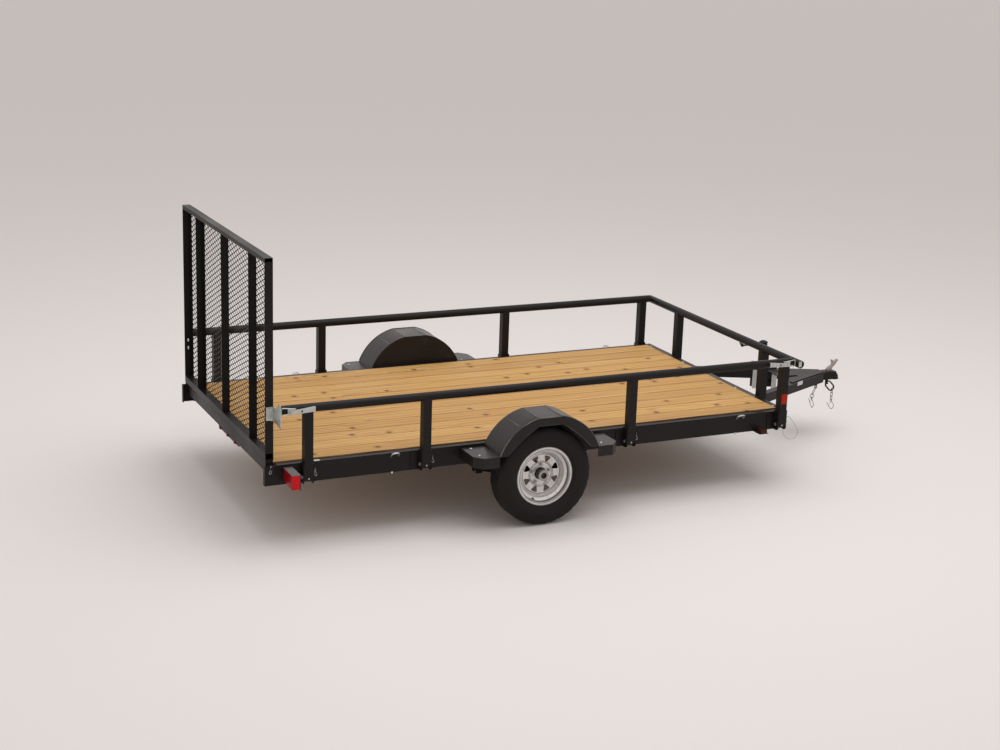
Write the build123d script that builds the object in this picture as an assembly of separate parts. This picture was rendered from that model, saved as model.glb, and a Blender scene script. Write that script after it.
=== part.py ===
from build123d import *
import math
import os

# Utility trailer: wood deck on a formed steel frame, one leaf-sprung axle, a drop-down mesh ramp
# gate, fold-down guard rails on both sides, a fixed front guard, an A-frame tongue and a swivel jack.
# Millimetres. Modelled with x = 0 at the rear end of the frame rails, +X forward to the coupler,
# +Y to the left, z = 0 on the floor. Every part is moved by -ORIGIN_X on its way out.

# ---- driving dimensions -------------------------------------------------------------------------
BED_LENGTH = 3478.0
BED_WIDTH = 1780.0
FRAME_TOP = 488.0
RAIL_DEPTH = 117.0
RAIL_FLANGE = 45.0
RAIL_LIP = 15.0
SHEET = 4.0
WELD_GAP = 0.3
FIT = 0.05

BOARD_COUNT = 12
BOARD_WIDTH = 139.5
BOARD_GAP = 1.0
BOARD_THICKNESS = 38.0
BOARD_PROUD = 5.5
BOARD_END_GAP = 2.0

JOIST_STATIONS = (120.0, 700.0, 1210.0, 2110.0, BED_LENGTH - 918.0, BED_LENGTH - 488.0, BED_LENGTH - 94.0)
JOIST_DEPTH = 64.0
JOIST_FLANGE = 38.0

REAR_FACE_X = 34.0
REAR_SILL_DEPTH = 62.0
REAR_SILL_FLANGE = 30.0
FRONT_FLANGE = 50.0

AXLE_X = 1664.0
TYRE_RADIUS = 303.0
TYRE_SIDES = 48
TYRE_WIDTH = 176.0
TYRE_Y = 1012.0
RIM_FLANGE_RADIUS = 182.0
RIM_BEAD_RADIUS = 164.0
RIM_WIDTH = 122.0
RIM_HOLES = 8
LUG_COUNT = 5
LUG_PCD = 114.3
STUD_RADIUS = 6.35

AXLE_TUBE = 50.8
SPRING_Y = 858.0
SPRING_HALF = 335.0
SPRING_WIDTH = 44.0
LEAF = 8.0
SPRING_EYE_Z = 322.0

FENDER_INNER = 896.0
FENDER_OUTER = 1136.0
FENDER_TOP = 684.0
FENDER_BASE = 474.0
FENDER_HALF = 322.0
FENDER_STEP_HALF = 78.0
FENDER_WALL = 4.0
FENDER_SKIRT = 46.0
FENDER_BULGE = 92.0
FENDER_SHOULDER = 76.0
LEFT_FENDER_SETBACK = 30.0
STEP_LENGTH = 148.0
STEP_DROP = 66.0
STEP_SHEET = 3.0
STEP_CHAMFER_X = 50.0
STEP_CHAMFER_Y = 55.0

POST = 50.8
POST_WALL = 3.0
POST_STATIONS = (242.0, 959.0, BED_LENGTH - 1165.0, BED_LENGTH - 68.0)
GUARD_TUBE_RADIUS = 25.4
GUARD_TUBE_WALL = 2.6
GUARD_TOP_Z = 818.0
GUARD_REAR_X = 72.0
GUARD_END_GAP = 8.0
GUARD_PIVOT_Z = 411.0
GUARD_WEB_GAP = 6.0
EAR = 5.0
EAR_GAP = 1.0
EAR_TOP_Z = 498.0
EAR_TAB = 50.0
PIN_RADIUS = 6.35
LOCK_PIN_RADIUS = 5.0
LOCK_PIN_Z = 455.0
LOCK_PIN_REACH = 14.0

FRONT_POST_Y = 545.0
FRONT_TUBE_Z = 806.0
FRONT_TUBE_HALF = 966.0

GATE_SIDE_GAP = 29.0
GATE_HALF = BED_WIDTH / 2 - SHEET - GATE_SIDE_GAP
GATE_REAR_X = 14.0
GATE_DEPTH = 48.0
GATE_TOP_Z = 1668.0
GATE_TOP_HEIGHT = 25.4
GATE_ANGLE_LEG = 38.0
GATE_STEEL = 3.2
GATE_BOTTOM_Z = 512.0
GATE_BOTTOM_HEIGHT = 41.0
GATE_INNER_Y = 553.0
GATE_PIVOT_X = 38.0
GATE_PIVOT_Z = 474.0
GATE_LUG = 8.0
GATE_LUG_RADIUS = 22.0
GATE_PIN_RADIUS = 9.5
MESH_PITCH_Y = 102.0
MESH_PITCH_Z = 46.0
MESH_STRAND = 5.0
MESH_SHEET = 1.6

BALL_X = 4474.0
BALL_Z = 392.0
BALL_SOCKET_RADIUS = 25.8
SOCKET_WALL = 9.0
SOCKET_MOUTH_Z = 377.0
COUPLER_REAR_X = BALL_X - 238.0
COUPLER_HALF = 34.0
COUPLER_RIM = 4.0

TONGUE_HALF_ANGLE = 24.6
TONGUE_APEX_X = BALL_X - 59.0
TONGUE_FRONT_X = BALL_X - 122.0
TONGUE_BOTTOM_Z = 371.0
TONGUE_HEIGHT = 64.0
TONGUE_WIDTH = 51.0
TONGUE_WALL = 4.0
GUSSET_REAR_X = BALL_X - 484.0
GUSSET_FRONT_X = BALL_X - 108.0
GUSSET = 6.0

JACK_TUBE_RADIUS = 28.5
JACK_WALL = 3.0
JACK_TOP_Z = 612.0
JACK_TUBE_BOTTOM_Z = 250.0
JACK_STATION = 401.0
JACK_OFFSET = 102.5
JACK_TRAVEL = 200.0
JACK_FOOT_RADIUS = 62.0

LAMP_X = 108.0
LAMP_DEPTH = 47.0
LAMP_REACH = 160.0
LAMP_BOTTOM_Z = 388.0
LAMP_HEIGHT = 82.0

# ---- derived places -----------------------------------------------------------------------------
HALF = BED_WIDTH / 2
FRAME_BOTTOM = FRAME_TOP - RAIL_DEPTH
DECK_TOP = FRAME_TOP + BOARD_PROUD
DECK_BOTTOM = DECK_TOP - BOARD_THICKNESS
WEB_INNER = HALF - SHEET
GUARD_Y = HALF + GUARD_WEB_GAP + POST / 2
FRONT_POST_X = BED_LENGTH + POST / 2
GUARD_FRONT_X = FRONT_POST_X - GUARD_TUBE_RADIUS - GUARD_END_GAP
COUPLER_NOSE_X = BALL_X + BALL_SOCKET_RADIUS + SOCKET_WALL + COUPLER_RIM
ORIGIN_X = COUPLER_NOSE_X / 2
TONGUE_REACH_X = TONGUE_APEX_X - HALF / math.tan(math.radians(TONGUE_HALF_ANGLE)) - JOIST_FLANGE
SIDES = (("left", 1), ("right", -1))


# ---- small helpers ------------------------------------------------------------------------------
def slab(x0, x1, y0, y1, z0, z1):
    """Box between two corners."""
    size = (abs(x1 - x0), abs(y1 - y0), abs(z1 - z0))
    return Pos((x0 + x1) / 2, (y0 + y1) / 2, (z0 + z1) / 2) * Box(*size)


def rod(radius, start, end):
    """Round bar between two points."""
    a = Vector(*start)
    b = Vector(*end)
    plane = Plane(origin=a, z_dir=(b - a).normalized())
    return extrude(plane * Circle(radius), (b - a).length)


def pipe(radius, wall, start, end):
    """Round tube, open at both ends."""
    a = Vector(*start)
    b = Vector(*end)
    plane = Plane(origin=a, z_dir=(b - a).normalized())
    return extrude(plane * (Circle(radius) - Circle(radius - wall)), (b - a).length)


def prism_y(points, y0, y1):
    """Outline in X and Z, extruded from y0 to y1."""
    plane = Plane(origin=(0, y0, 0), x_dir=(1, 0, 0), z_dir=(0, -1, 0))
    outline = plane * make_face(Polyline(*points, close=True))
    return extrude(outline, -(y1 - y0))


def save(node, *solids):
    """Write one sub-part, moved to the origin that the whole trailer shares."""
    moved = [solid for shape in solids for solid in (Pos(-ORIGIN_X, 0, 0) * shape).solids()]
    export_step(moved[0] if len(moved) == 1 else Compound(moved), "parts/" + node + ".step")


def side_slab(sign, x0, x1, y0, y1, z0, z1):
    """Box on the left side, or its mirror on the right."""
    return slab(x0, x1, sign * y0, sign * y1, z0, z1)


def tongue_point(behind_apex, outward=0.0, sign=1):
    """Point beside the tongue beam's centre line, in plan."""
    angle = math.radians(TONGUE_HALF_ANGLE)
    x = TONGUE_APEX_X - behind_apex + outward * math.sin(angle)
    y = behind_apex * math.tan(angle) + outward * math.cos(angle)
    return (x, sign * y)


def tongue_frame(x, y, z, sign):
    """Location whose X runs rearward along a tongue beam and whose Y points outward from it."""
    angle = math.radians(TONGUE_HALF_ANGLE)
    rearward = (-math.cos(angle), sign * math.sin(angle), 0)
    return Plane(origin=(x, y, z), x_dir=rearward, z_dir=(0, 0, -sign)).location


# ---- frame --------------------------------------------------------------------------------------
RAIL_NOTCH = 74.0
END_PLATE_GAP = 5.0
END_PLATE_INNER = GATE_HALF + END_PLATE_GAP
TONGUE_BLANK = 2100.0
SILL_LUG_GAP = 7.0
GUSSET_REAR_EDGE = 6.0
GUSSET_FRONT_EDGE = 14.0
GUSSET_SLOT_SETBACK = 88.0
GUSSET_SLOT_Y = 62.0
GUSSET_SLOT_LENGTH = 96.0
GUSSET_SLOT_WIDTH = 34.0
TONGUE_TOP_Z = TONGUE_BOTTOM_Z + TONGUE_HEIGHT


def frame_rail(sign):
    """Formed side rail: web, top flange, bottom lip and a closed rear end."""
    web = side_slab(sign, 0, BED_LENGTH, WEB_INNER, HALF, FRAME_BOTTOM, FRAME_TOP)
    flange_front = BED_LENGTH - FRONT_FLANGE
    flange_z = FRAME_TOP - SHEET
    flange = side_slab(sign, RAIL_NOTCH, flange_front, HALF - RAIL_FLANGE, HALF, flange_z, FRAME_TOP)
    lip_z = FRAME_BOTTOM + SHEET
    lip = side_slab(sign, RAIL_NOTCH, BED_LENGTH - SHEET, HALF - RAIL_LIP, HALF, FRAME_BOTTOM, lip_z)
    end = side_slab(sign, 0, SHEET, END_PLATE_INNER, HALF, FRAME_BOTTOM, FRAME_TOP)
    pin_hole = rod(GATE_PIN_RADIUS + FIT, (GATE_PIVOT_X, sign * (HALF - 20), GATE_PIVOT_Z),
                   (GATE_PIVOT_X, sign * (HALF + 20), GATE_PIVOT_Z))
    return web + flange + lip + end - pin_hole


def tongue_solid(sign, grow):
    """Tongue beam's outer shape, larger all round by grow."""
    rear = TONGUE_BLANK
    front = TONGUE_APEX_X - TONGUE_FRONT_X
    x, y = tongue_point((front + rear) / 2, 0, sign)
    span = (rear - front) / math.cos(math.radians(TONGUE_HALF_ANGLE))
    block = Box(span, TONGUE_WIDTH + 2 * grow, TONGUE_HEIGHT + 2 * grow)
    return tongue_frame(x, y, TONGUE_BOTTOM_Z + TONGUE_HEIGHT / 2, sign) * block


def tongue_beam(sign):
    """Rectangular tube from beside the coupler back to the side rail."""
    core = tongue_solid(sign, -TONGUE_WALL)
    beam = tongue_solid(sign, 0) - core
    inside = side_slab(sign, 0, TONGUE_FRONT_X, COUPLER_HALF + WELD_GAP, HALF - RAIL_LIP - WELD_GAP,
                       TONGUE_BOTTOM_Z - 1, FRAME_TOP)
    return beam & inside


def notch(sign, x0, x1, z0):
    """Room for a tongue beam where it passes a cross-member between x0 and x1."""
    slope = math.tan(math.radians(TONGUE_HALF_ANGLE))
    half = TONGUE_WIDTH / 2 / math.cos(math.radians(TONGUE_HALF_ANGLE)) + WELD_GAP
    y0 = (TONGUE_APEX_X - x1) * slope - half
    y1 = (TONGUE_APEX_X - x0) * slope + half
    return side_slab(sign, x0 - 1, x1 + 1, y0, y1, z0 - 1, TONGUE_BOTTOM_Z + TONGUE_HEIGHT + WELD_GAP)


def joist(x):
    """Deck cross-member: channel with both flanges forward, notched over the tongue beams."""
    bottom = DECK_BOTTOM - JOIST_DEPTH
    web = slab(x, x + SHEET, -WEB_INNER, WEB_INNER, bottom, DECK_BOTTOM)
    top = slab(x, x + JOIST_FLANGE, -WEB_INNER, WEB_INNER, DECK_BOTTOM - SHEET, DECK_BOTTOM)
    foot = slab(x, x + JOIST_FLANGE, -WEB_INNER, WEB_INNER, bottom, bottom + SHEET)
    body = web + top + foot
    if x > TONGUE_REACH_X:
        for sign in (-1, 1):
            body -= notch(sign, x, x + JOIST_FLANGE, bottom)
    return body


def front_sill():
    """Front cross-member: face, wide top flange and bottom lip."""
    x = BED_LENGTH
    inner = HALF - RAIL_LIP
    web = slab(x - SHEET, x, -WEB_INNER, WEB_INNER, FRAME_BOTTOM, FRAME_TOP)
    top = slab(x - FRONT_FLANGE, x, -WEB_INNER, WEB_INNER, FRAME_TOP - SHEET, FRAME_TOP)
    lip = slab(x - RAIL_LIP, x, -inner, inner, FRAME_BOTTOM, FRAME_BOTTOM + SHEET)
    body = web + top + lip
    for sign in (-1, 1):
        body -= notch(sign, x - RAIL_LIP, x, FRAME_BOTTOM)
    return body


def rear_sill():
    """Rear cross-member, its top corners cut back for the gate's lugs."""
    x = REAR_FACE_X
    bottom = FRAME_TOP - REAR_SILL_DEPTH
    low = GATE_PIVOT_Z - GATE_LUG_RADIUS - SILL_LUG_GAP + 1
    face = slab(x, x + SHEET, -WEB_INNER, WEB_INNER, bottom, low)
    inner = GATE_HALF - GATE_LUG - SILL_LUG_GAP
    upper = slab(x, x + SHEET, -inner, inner, bottom, FRAME_TOP)
    top = slab(x, x + REAR_SILL_FLANGE, -inner, inner, FRAME_TOP - SHEET, FRAME_TOP)
    foot = slab(x, x + REAR_SILL_FLANGE, -WEB_INNER, WEB_INNER, bottom, bottom + SHEET)
    return face + upper + top + foot


def deck_board(number):
    """One lengthwise deck board."""
    pitch = BOARD_WIDTH + BOARD_GAP
    y = (number - (BOARD_COUNT - 1) / 2) * pitch
    rear = REAR_FACE_X + REAR_SILL_FLANGE + BOARD_END_GAP
    front = BED_LENGTH - FRONT_FLANGE - BOARD_END_GAP
    return slab(rear, front, y - BOARD_WIDTH / 2, y + BOARD_WIDTH / 2, DECK_BOTTOM, DECK_TOP)


def gusset_plate():
    """Flat plate over both tongue beams behind the coupler, with two oblong holes."""
    rear_half = tongue_point(TONGUE_APEX_X - GUSSET_REAR_X)[1] + GUSSET_REAR_EDGE
    front_half = tongue_point(TONGUE_APEX_X - GUSSET_FRONT_X)[1] + GUSSET_FRONT_EDGE
    corners = [(GUSSET_REAR_X, -rear_half), (GUSSET_FRONT_X, -front_half),
               (GUSSET_FRONT_X, front_half), (GUSSET_REAR_X, rear_half)]
    plate = extrude(Plane.XY.offset(TONGUE_TOP_Z) * make_face(Polyline(*corners, close=True)), GUSSET)
    slot_x = GUSSET_REAR_X + GUSSET_SLOT_SETBACK
    for y in (-GUSSET_SLOT_Y, GUSSET_SLOT_Y):
        slot = SlotOverall(GUSSET_SLOT_LENGTH, GUSSET_SLOT_WIDTH)
        hole = Plane.XY.offset(TONGUE_TOP_Z - 1) * Pos(slot_x, y) * slot
        plate -= extrude(hole, GUSSET + 2)
    return plate


COUPLER_NECK_LIFT = 8.0
COUPLER_SHEET = 5.0


def coupler():
    """Ball coupler: channel neck, domed head with the ball socket, and its rim."""
    top = TONGUE_TOP_Z
    bottom = TONGUE_BOTTOM_Z + COUPLER_NECK_LIFT
    inner = COUPLER_HALF - COUPLER_SHEET
    neck = slab(COUPLER_REAR_X, BALL_X, -COUPLER_HALF, COUPLER_HALF, bottom, top)
    neck -= slab(COUPLER_REAR_X - 1, BALL_X, -inner, inner, bottom - 1, top - COUPLER_SHEET)
    shell = BALL_SOCKET_RADIUS + SOCKET_WALL
    head = Pos(BALL_X, 0, BALL_Z) * Sphere(shell)
    head &= slab(BALL_X - shell, BALL_X + shell, -shell, shell, BALL_Z, BALL_Z + shell)
    skirt = Pos(BALL_X, 0, (SOCKET_MOUTH_Z + BALL_Z) / 2) * Cylinder(shell, BALL_Z - SOCKET_MOUTH_Z)
    rim = Pos(BALL_X, 0, SOCKET_MOUTH_Z + COUPLER_SHEET / 2) * Cylinder(shell + COUPLER_RIM, COUPLER_SHEET)
    socket = Pos(BALL_X, 0, BALL_Z) * Sphere(BALL_SOCKET_RADIUS)
    mouth = Pos(BALL_X, 0, SOCKET_MOUTH_Z - 1 + (BALL_Z - SOCKET_MOUTH_Z) / 2)
    mouth *= Cylinder(BALL_SOCKET_RADIUS, BALL_Z - SOCKET_MOUTH_Z + 2)
    return neck + head + skirt + rim - socket - mouth


LATCH_HALF_WIDTH = 11.0
# Side view of the coupler's lever: (ahead of the ball, above the neck).
LATCH_OUTLINE = (
    (-62, 0), (-26, 0), (-18, 27), (-2, 39), (6, 49), (26, 77), (18, 81), (-2, 59),
    (-8, 59), (-20, 79), (-28, 75), (-18, 51), (-26, 39), (-46, 29), (-62, 15),
)


def coupler_latch():
    """Lever that locks the ball, with a forked top, standing on the neck."""
    outline = [(BALL_X + ahead, TONGUE_TOP_Z + above) for ahead, above in LATCH_OUTLINE]
    return prism_y(outline, -LATCH_HALF_WIDTH, LATCH_HALF_WIDTH)


# ---- safety chains ------------------------------------------------------------------------------
LINK_WIRE = 5.0
LINK_CORNER = 0.28
HOOK_EYE = 5.5
HOOK_BEND = 9.0
# Chain hook, from its eye's centre: (across, up).
HOOK_ROUTE = ((0, -9), (18, -22), (27, -46), (8, -66), (-14, -44), (-36, -10))
NEAR_TAB_X = BALL_X - 208.0
NEAR_TAB_Y = -92.0
NEAR_TAB_HOLE_Z = 356.0
NEAR_TAB_HOLE = 7.0
TAB_HALF = 10.0
TAB_SHEET = 5.0
SHACKLE_LENGTH = 64.0
SHACKLE_WIDTH = 18.0
SHACKLE_LEAN = 26.0
CHAIN_RING_RADIUS = 17.0
STUD_X = BALL_X - 76.9
STUD_Z = 356.7
STUD_LENGTH = 16.0
LOOP_X = BALL_X - 54.0
LOOP_Z = 336.0
LOOP_Y = -42.0
LOOP_LENGTH = 90.0
LOOP_WIDTH = 54.0
LOOP_WIRE = 9.0
LOOP_THICKNESS = 8.0
FAR_LINK_X = LOOP_X + 23.0
# Links that hang from the loop, from the top: length and width.
FAR_LINKS = ((38.0, 22.0), (36.0, 22.0), (36.0, 22.0))


def flat_piece(face, thickness, x, y, z, along):
    """Face drawn in (across, up), made a plate of even thickness, across X or across Y."""
    if along == "x":
        plane = Plane(origin=(x, y - thickness / 2, z), x_dir=(1, 0, 0), z_dir=(0, -1, 0))
        return extrude(plane * face, -thickness)
    plane = Plane(origin=(x - thickness / 2, y, z), x_dir=(0, -1, 0), z_dir=(-1, 0, 0))
    return extrude(plane * face, -thickness)


def link_face(length, width, wire):
    """Ring with cut corners, standing upright."""
    rings = []
    for inset in (0, 2 * wire):
        block = Rectangle(width - inset, length - inset)
        rings.append(chamfer(block.vertices(), LINK_CORNER * (width - inset)))
    return rings[0] - rings[1]


def hook_face():
    """Chain hook with its round eye."""
    eye = Circle(HOOK_EYE + LINK_WIRE) - Circle(HOOK_EYE)
    return trace(FilletPolyline(*HOOK_ROUTE, radius=HOOK_BEND), LINK_WIRE) + eye


def chain_anchors():
    """Drilled tab under the right tongue beam, and a stud plate under the coupler."""
    x, y = NEAR_TAB_X, NEAR_TAB_Y
    tab = slab(x - TAB_HALF, x + TAB_HALF, y - TAB_SHEET / 2, y + TAB_SHEET / 2,
               NEAR_TAB_HOLE_Z - TAB_HALF, TONGUE_BOTTOM_Z)
    tab -= rod(NEAR_TAB_HOLE, (x, y - TAB_SHEET, NEAR_TAB_HOLE_Z), (x, y + TAB_SHEET, NEAR_TAB_HOLE_Z))
    neck_bottom = TONGUE_BOTTOM_Z + COUPLER_NECK_LIFT
    plate = slab(STUD_X - TAB_HALF, STUD_X + TAB_HALF, -COUPLER_HALF, -COUPLER_HALF + COUPLER_SHEET,
                 STUD_Z - TAB_HALF, neck_bottom)
    stud = rod(LINK_WIRE, (STUD_X, -COUPLER_HALF, STUD_Z), (STUD_X, -COUPLER_HALF - STUD_LENGTH, STUD_Z))
    return [tab, plate + stud]


def chain_loop():
    """Black loop that hangs on the coupler's stud, leaning forward."""
    inside = SlotOverall(LOOP_LENGTH - 2 * LOOP_WIRE, LOOP_WIDTH - 2 * LOOP_WIRE)
    ring = Rot(0, 0, -45) * (SlotOverall(LOOP_LENGTH, LOOP_WIDTH) - inside)
    return flat_piece(ring, LOOP_THICKNESS, LOOP_X, LOOP_Y, LOOP_Z, "x")


def near_chain():
    """Long shackle through the tab, a ring, and a hook."""
    lean = math.radians(SHACKLE_LEAN)
    top_z = NEAR_TAB_HOLE_Z - NEAR_TAB_HOLE + LINK_WIRE * 0.84
    reach = SHACKLE_LENGTH - LINK_WIRE
    low_x = NEAR_TAB_X - reach * math.sin(lean)
    low_z = top_z - reach * math.cos(lean)
    shackle = flat_piece(link_face(SHACKLE_LENGTH, SHACKLE_WIDTH, LINK_WIRE), LINK_WIRE, 0, 0, 0, "y")
    shackle = Rot(0, SHACKLE_LEAN, 0) * shackle
    shackle = Pos((NEAR_TAB_X + low_x) / 2, NEAR_TAB_Y, (top_z + low_z) / 2) * shackle
    inside = CHAIN_RING_RADIUS - LINK_WIRE
    ring_z = low_z + LINK_WIRE * 0.71 + WELD_GAP - inside
    ring_face = Circle(CHAIN_RING_RADIUS) - Circle(inside)
    ring = flat_piece(ring_face, LINK_WIRE, low_x, NEAR_TAB_Y, ring_z, "x")
    eye_z = ring_z - inside + 2 * WELD_GAP - HOOK_EYE
    hook = flat_piece(hook_face(), LINK_WIRE, low_x, NEAR_TAB_Y, eye_z, "y")
    return [shackle, ring, hook]


def far_chain():
    """Three links, turned by turns, and a hook, under the coupler's loop."""
    half = LOOP_WIDTH / 2
    offset = (LOOP_LENGTH / 2 - half) * math.sin(math.radians(45))
    ahead = FAR_LINK_X - LOOP_X - offset + LINK_WIRE / 2
    seat = LOOP_Z - offset - math.sqrt((half - LOOP_WIRE) ** 2 - ahead ** 2)
    pieces = []
    top = seat + LINK_WIRE + WELD_GAP
    for number, (length, width) in enumerate(FAR_LINKS):
        along = "y" if number % 2 == 0 else "x"
        face = link_face(length, width, LINK_WIRE)
        pieces.append(flat_piece(face, LINK_WIRE, FAR_LINK_X, LOOP_Y, top - length / 2, along))
        top -= length - 2 * LINK_WIRE - WELD_GAP
    eye_z = top - LINK_WIRE + WELD_GAP - HOOK_EYE
    pieces.append(flat_piece(hook_face(), LINK_WIRE, FAR_LINK_X, LOOP_Y, eye_z, "x"))
    return pieces


# ---- axle, springs and wheels -------------------------------------------------------------------
SPRING_DROP = SPRING_EYE_Z - (TYRE_RADIUS - AXLE_TUBE / 2)
SPRING_ARC = (SPRING_HALF ** 2 + SPRING_DROP ** 2) / (2 * SPRING_DROP)
SPINDLE_RADIUS = 19.0
SPINDLE_END = 1042.0
AXLE_TUBE_END = 842.0
HUB_INNER = 934.0
HUB_OUTER = 1064.0
HUB_RADIUS = 33.0
HUB_FLANGE_RADIUS = 70.0
HUB_FLANGE = 10.0
DISC_FACE_Y = 1012.0
DISC = 4.0


def axle():
    """Square axle tube with a spindle at each end."""
    beam = slab(AXLE_X - AXLE_TUBE / 2, AXLE_X + AXLE_TUBE / 2, -AXLE_TUBE_END - 50, AXLE_TUBE_END + 50,
                TYRE_RADIUS - AXLE_TUBE / 2, TYRE_RADIUS + AXLE_TUBE / 2)
    ends = [(AXLE_X, y, TYRE_RADIUS) for y in (-SPINDLE_END, SPINDLE_END)]
    return beam + rod(SPINDLE_RADIUS, *ends)


def leaf(half, layer):
    """One leaf, seen from the side, as an arc band below the one above it."""
    centre = TYRE_RADIUS - AXLE_TUBE / 2 + SPRING_ARC - 2 * WELD_GAP
    outer = SPRING_ARC + (layer + 1) * LEAF
    inner = SPRING_ARC + layer * LEAF
    reach = math.asin(half / SPRING_ARC)

    def at(radius, angle):
        return (AXLE_X + radius * math.sin(angle), centre - radius * math.cos(angle))

    edges = [ThreePointArc(at(inner, -reach), at(inner, 0), at(inner, reach)),
             Line(at(inner, reach), at(outer, reach)),
             ThreePointArc(at(outer, reach), at(outer, 0), at(outer, -reach)),
             Line(at(outer, -reach), at(inner, -reach))]
    return make_face(edges)


def leaf_spring(sign):
    """Three leaves with an eye at each end of the longest."""
    y0 = SPRING_Y - SPRING_WIDTH / 2
    plane = Plane(origin=(0, sign * y0, 0), x_dir=(1, 0, 0), z_dir=(0, -1, 0))
    spring = None
    for layer, half in enumerate((SPRING_HALF, 235.0, 140.0)):
        band = extrude(plane * leaf(half, layer), -sign * SPRING_WIDTH)
        spring = band if spring is None else spring + band
    for end in (-1, 1):
        x = AXLE_X + end * (SPRING_HALF + 6)
        eye = rod(15, (x, sign * y0, SPRING_EYE_Z), (x, sign * (y0 + SPRING_WIDTH), SPRING_EYE_Z))
        y1 = y0 + SPRING_WIDTH + 1
        bore = rod(7 + FIT, (x, sign * (y0 - 1), SPRING_EYE_Z), (x, sign * y1, SPRING_EYE_Z))
        spring = spring + eye - bore
    return spring


def spring_hangers(sign):
    """Front and rear hangers under the rail, each with its eye bolt."""
    hangers = []
    y0 = SPRING_Y - SPRING_WIDTH / 2
    y1 = SPRING_Y + SPRING_WIDTH / 2
    for end in (-1, 1):
        x = AXLE_X + end * (SPRING_HALF + 6)
        base = side_slab(sign, x - 36, x + 36, y0 - 5, y1 + 5, FRAME_BOTTOM - 5, FRAME_BOTTOM)
        outline = [(x - 34, FRAME_BOTTOM - 5), (x + 34, FRAME_BOTTOM - 5), (x + 20, SPRING_EYE_Z - 22),
                   (x - 20, SPRING_EYE_Z - 22)]
        inner = prism_y(outline, sign * (y0 - 1), sign * (y0 - 5))
        outer = prism_y(outline, sign * (y1 + 1), sign * (y1 + 5))
        bolt = rod(7, (x, sign * (y0 - 14), SPRING_EYE_Z), (x, sign * (y1 + 14), SPRING_EYE_Z))
        head = rod(12, (x, sign * (y1 + 5), SPRING_EYE_Z), (x, sign * (y1 + 13), SPRING_EYE_Z))
        hangers.append(base + inner + outer + bolt + head)
    return hangers


def spring_ties(sign):
    """Plate under the leaves and two U-bolts over the axle tube."""
    under = TYRE_RADIUS - AXLE_TUBE / 2 - 2 * WELD_GAP - 3 * LEAF
    y0 = SPRING_Y - 34
    y1 = SPRING_Y + 34
    plate = side_slab(sign, AXLE_X - 48, AXLE_X + 48, y0, y1, under - 8.3, under - WELD_GAP)
    top = TYRE_RADIUS + AXLE_TUBE / 2 + 5.3
    tie = plate
    for y in (SPRING_Y - 28, SPRING_Y + 28):
        for x in (-32, 32):
            tie += rod(5, (AXLE_X + x, sign * y, under - 20), (AXLE_X + x, sign * y, top))
        tie += rod(5, (AXLE_X - 37, sign * y, top), (AXLE_X + 37, sign * y, top))
    return tie


def turned(points):
    """Solid of revolution about the wheel axis from (outward, radius) points, at the wheel's centre."""
    outline = Plane.YZ * make_face(Polyline(*points, close=True))
    return revolve(outline, Axis.Y)


def place_wheel(shape, sign):
    """Wheel part, made with its outboard side at +Y, put at its own side."""
    if sign < 0:
        shape = mirror(shape, Plane.XZ)
    return Pos(AXLE_X, sign * TYRE_Y, TYRE_RADIUS) * shape


RIM_BORE = 38.0
RIM_PAD = 69.0
RIM_DISH = 6.0
RIM_HOLE_INNER = 76.0
RIM_HOLE_OUTER = 118.0
RIM_SPOKE_END = RIM_HOLE_OUTER + 3.0
RIM_HOLE_SPREAD = 13.0
RIM_HOLE_CORNER = 8.0
RIM_WELL = RIM_BEAD_RADIUS - 18.0
RIM_SHEET = 3.0


def rim_hole(number):
    """Cutter for one rounded three-cornered hole, its point towards the hub."""
    angle = 2 * math.pi * (number + 0.5) / RIM_HOLES
    spread = math.radians(RIM_HOLE_SPREAD)
    corners = [(RIM_HOLE_INNER - RIM_HOLE_CORNER, angle),
               (RIM_HOLE_OUTER, angle - spread), (RIM_HOLE_OUTER, angle + spread)]
    corners = [(radius * math.cos(turn), radius * math.sin(turn)) for radius, turn in corners]
    face = make_face(Polyline(*corners, close=True))
    face = fillet(face.vertices(), RIM_HOLE_CORNER)
    plane = Plane(origin=(0, DISC_FACE_Y - TYRE_Y + 60, 0), x_dir=(1, 0, 0), z_dir=(0, -1, 0))
    return extrude(plane * face, 90)


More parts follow.
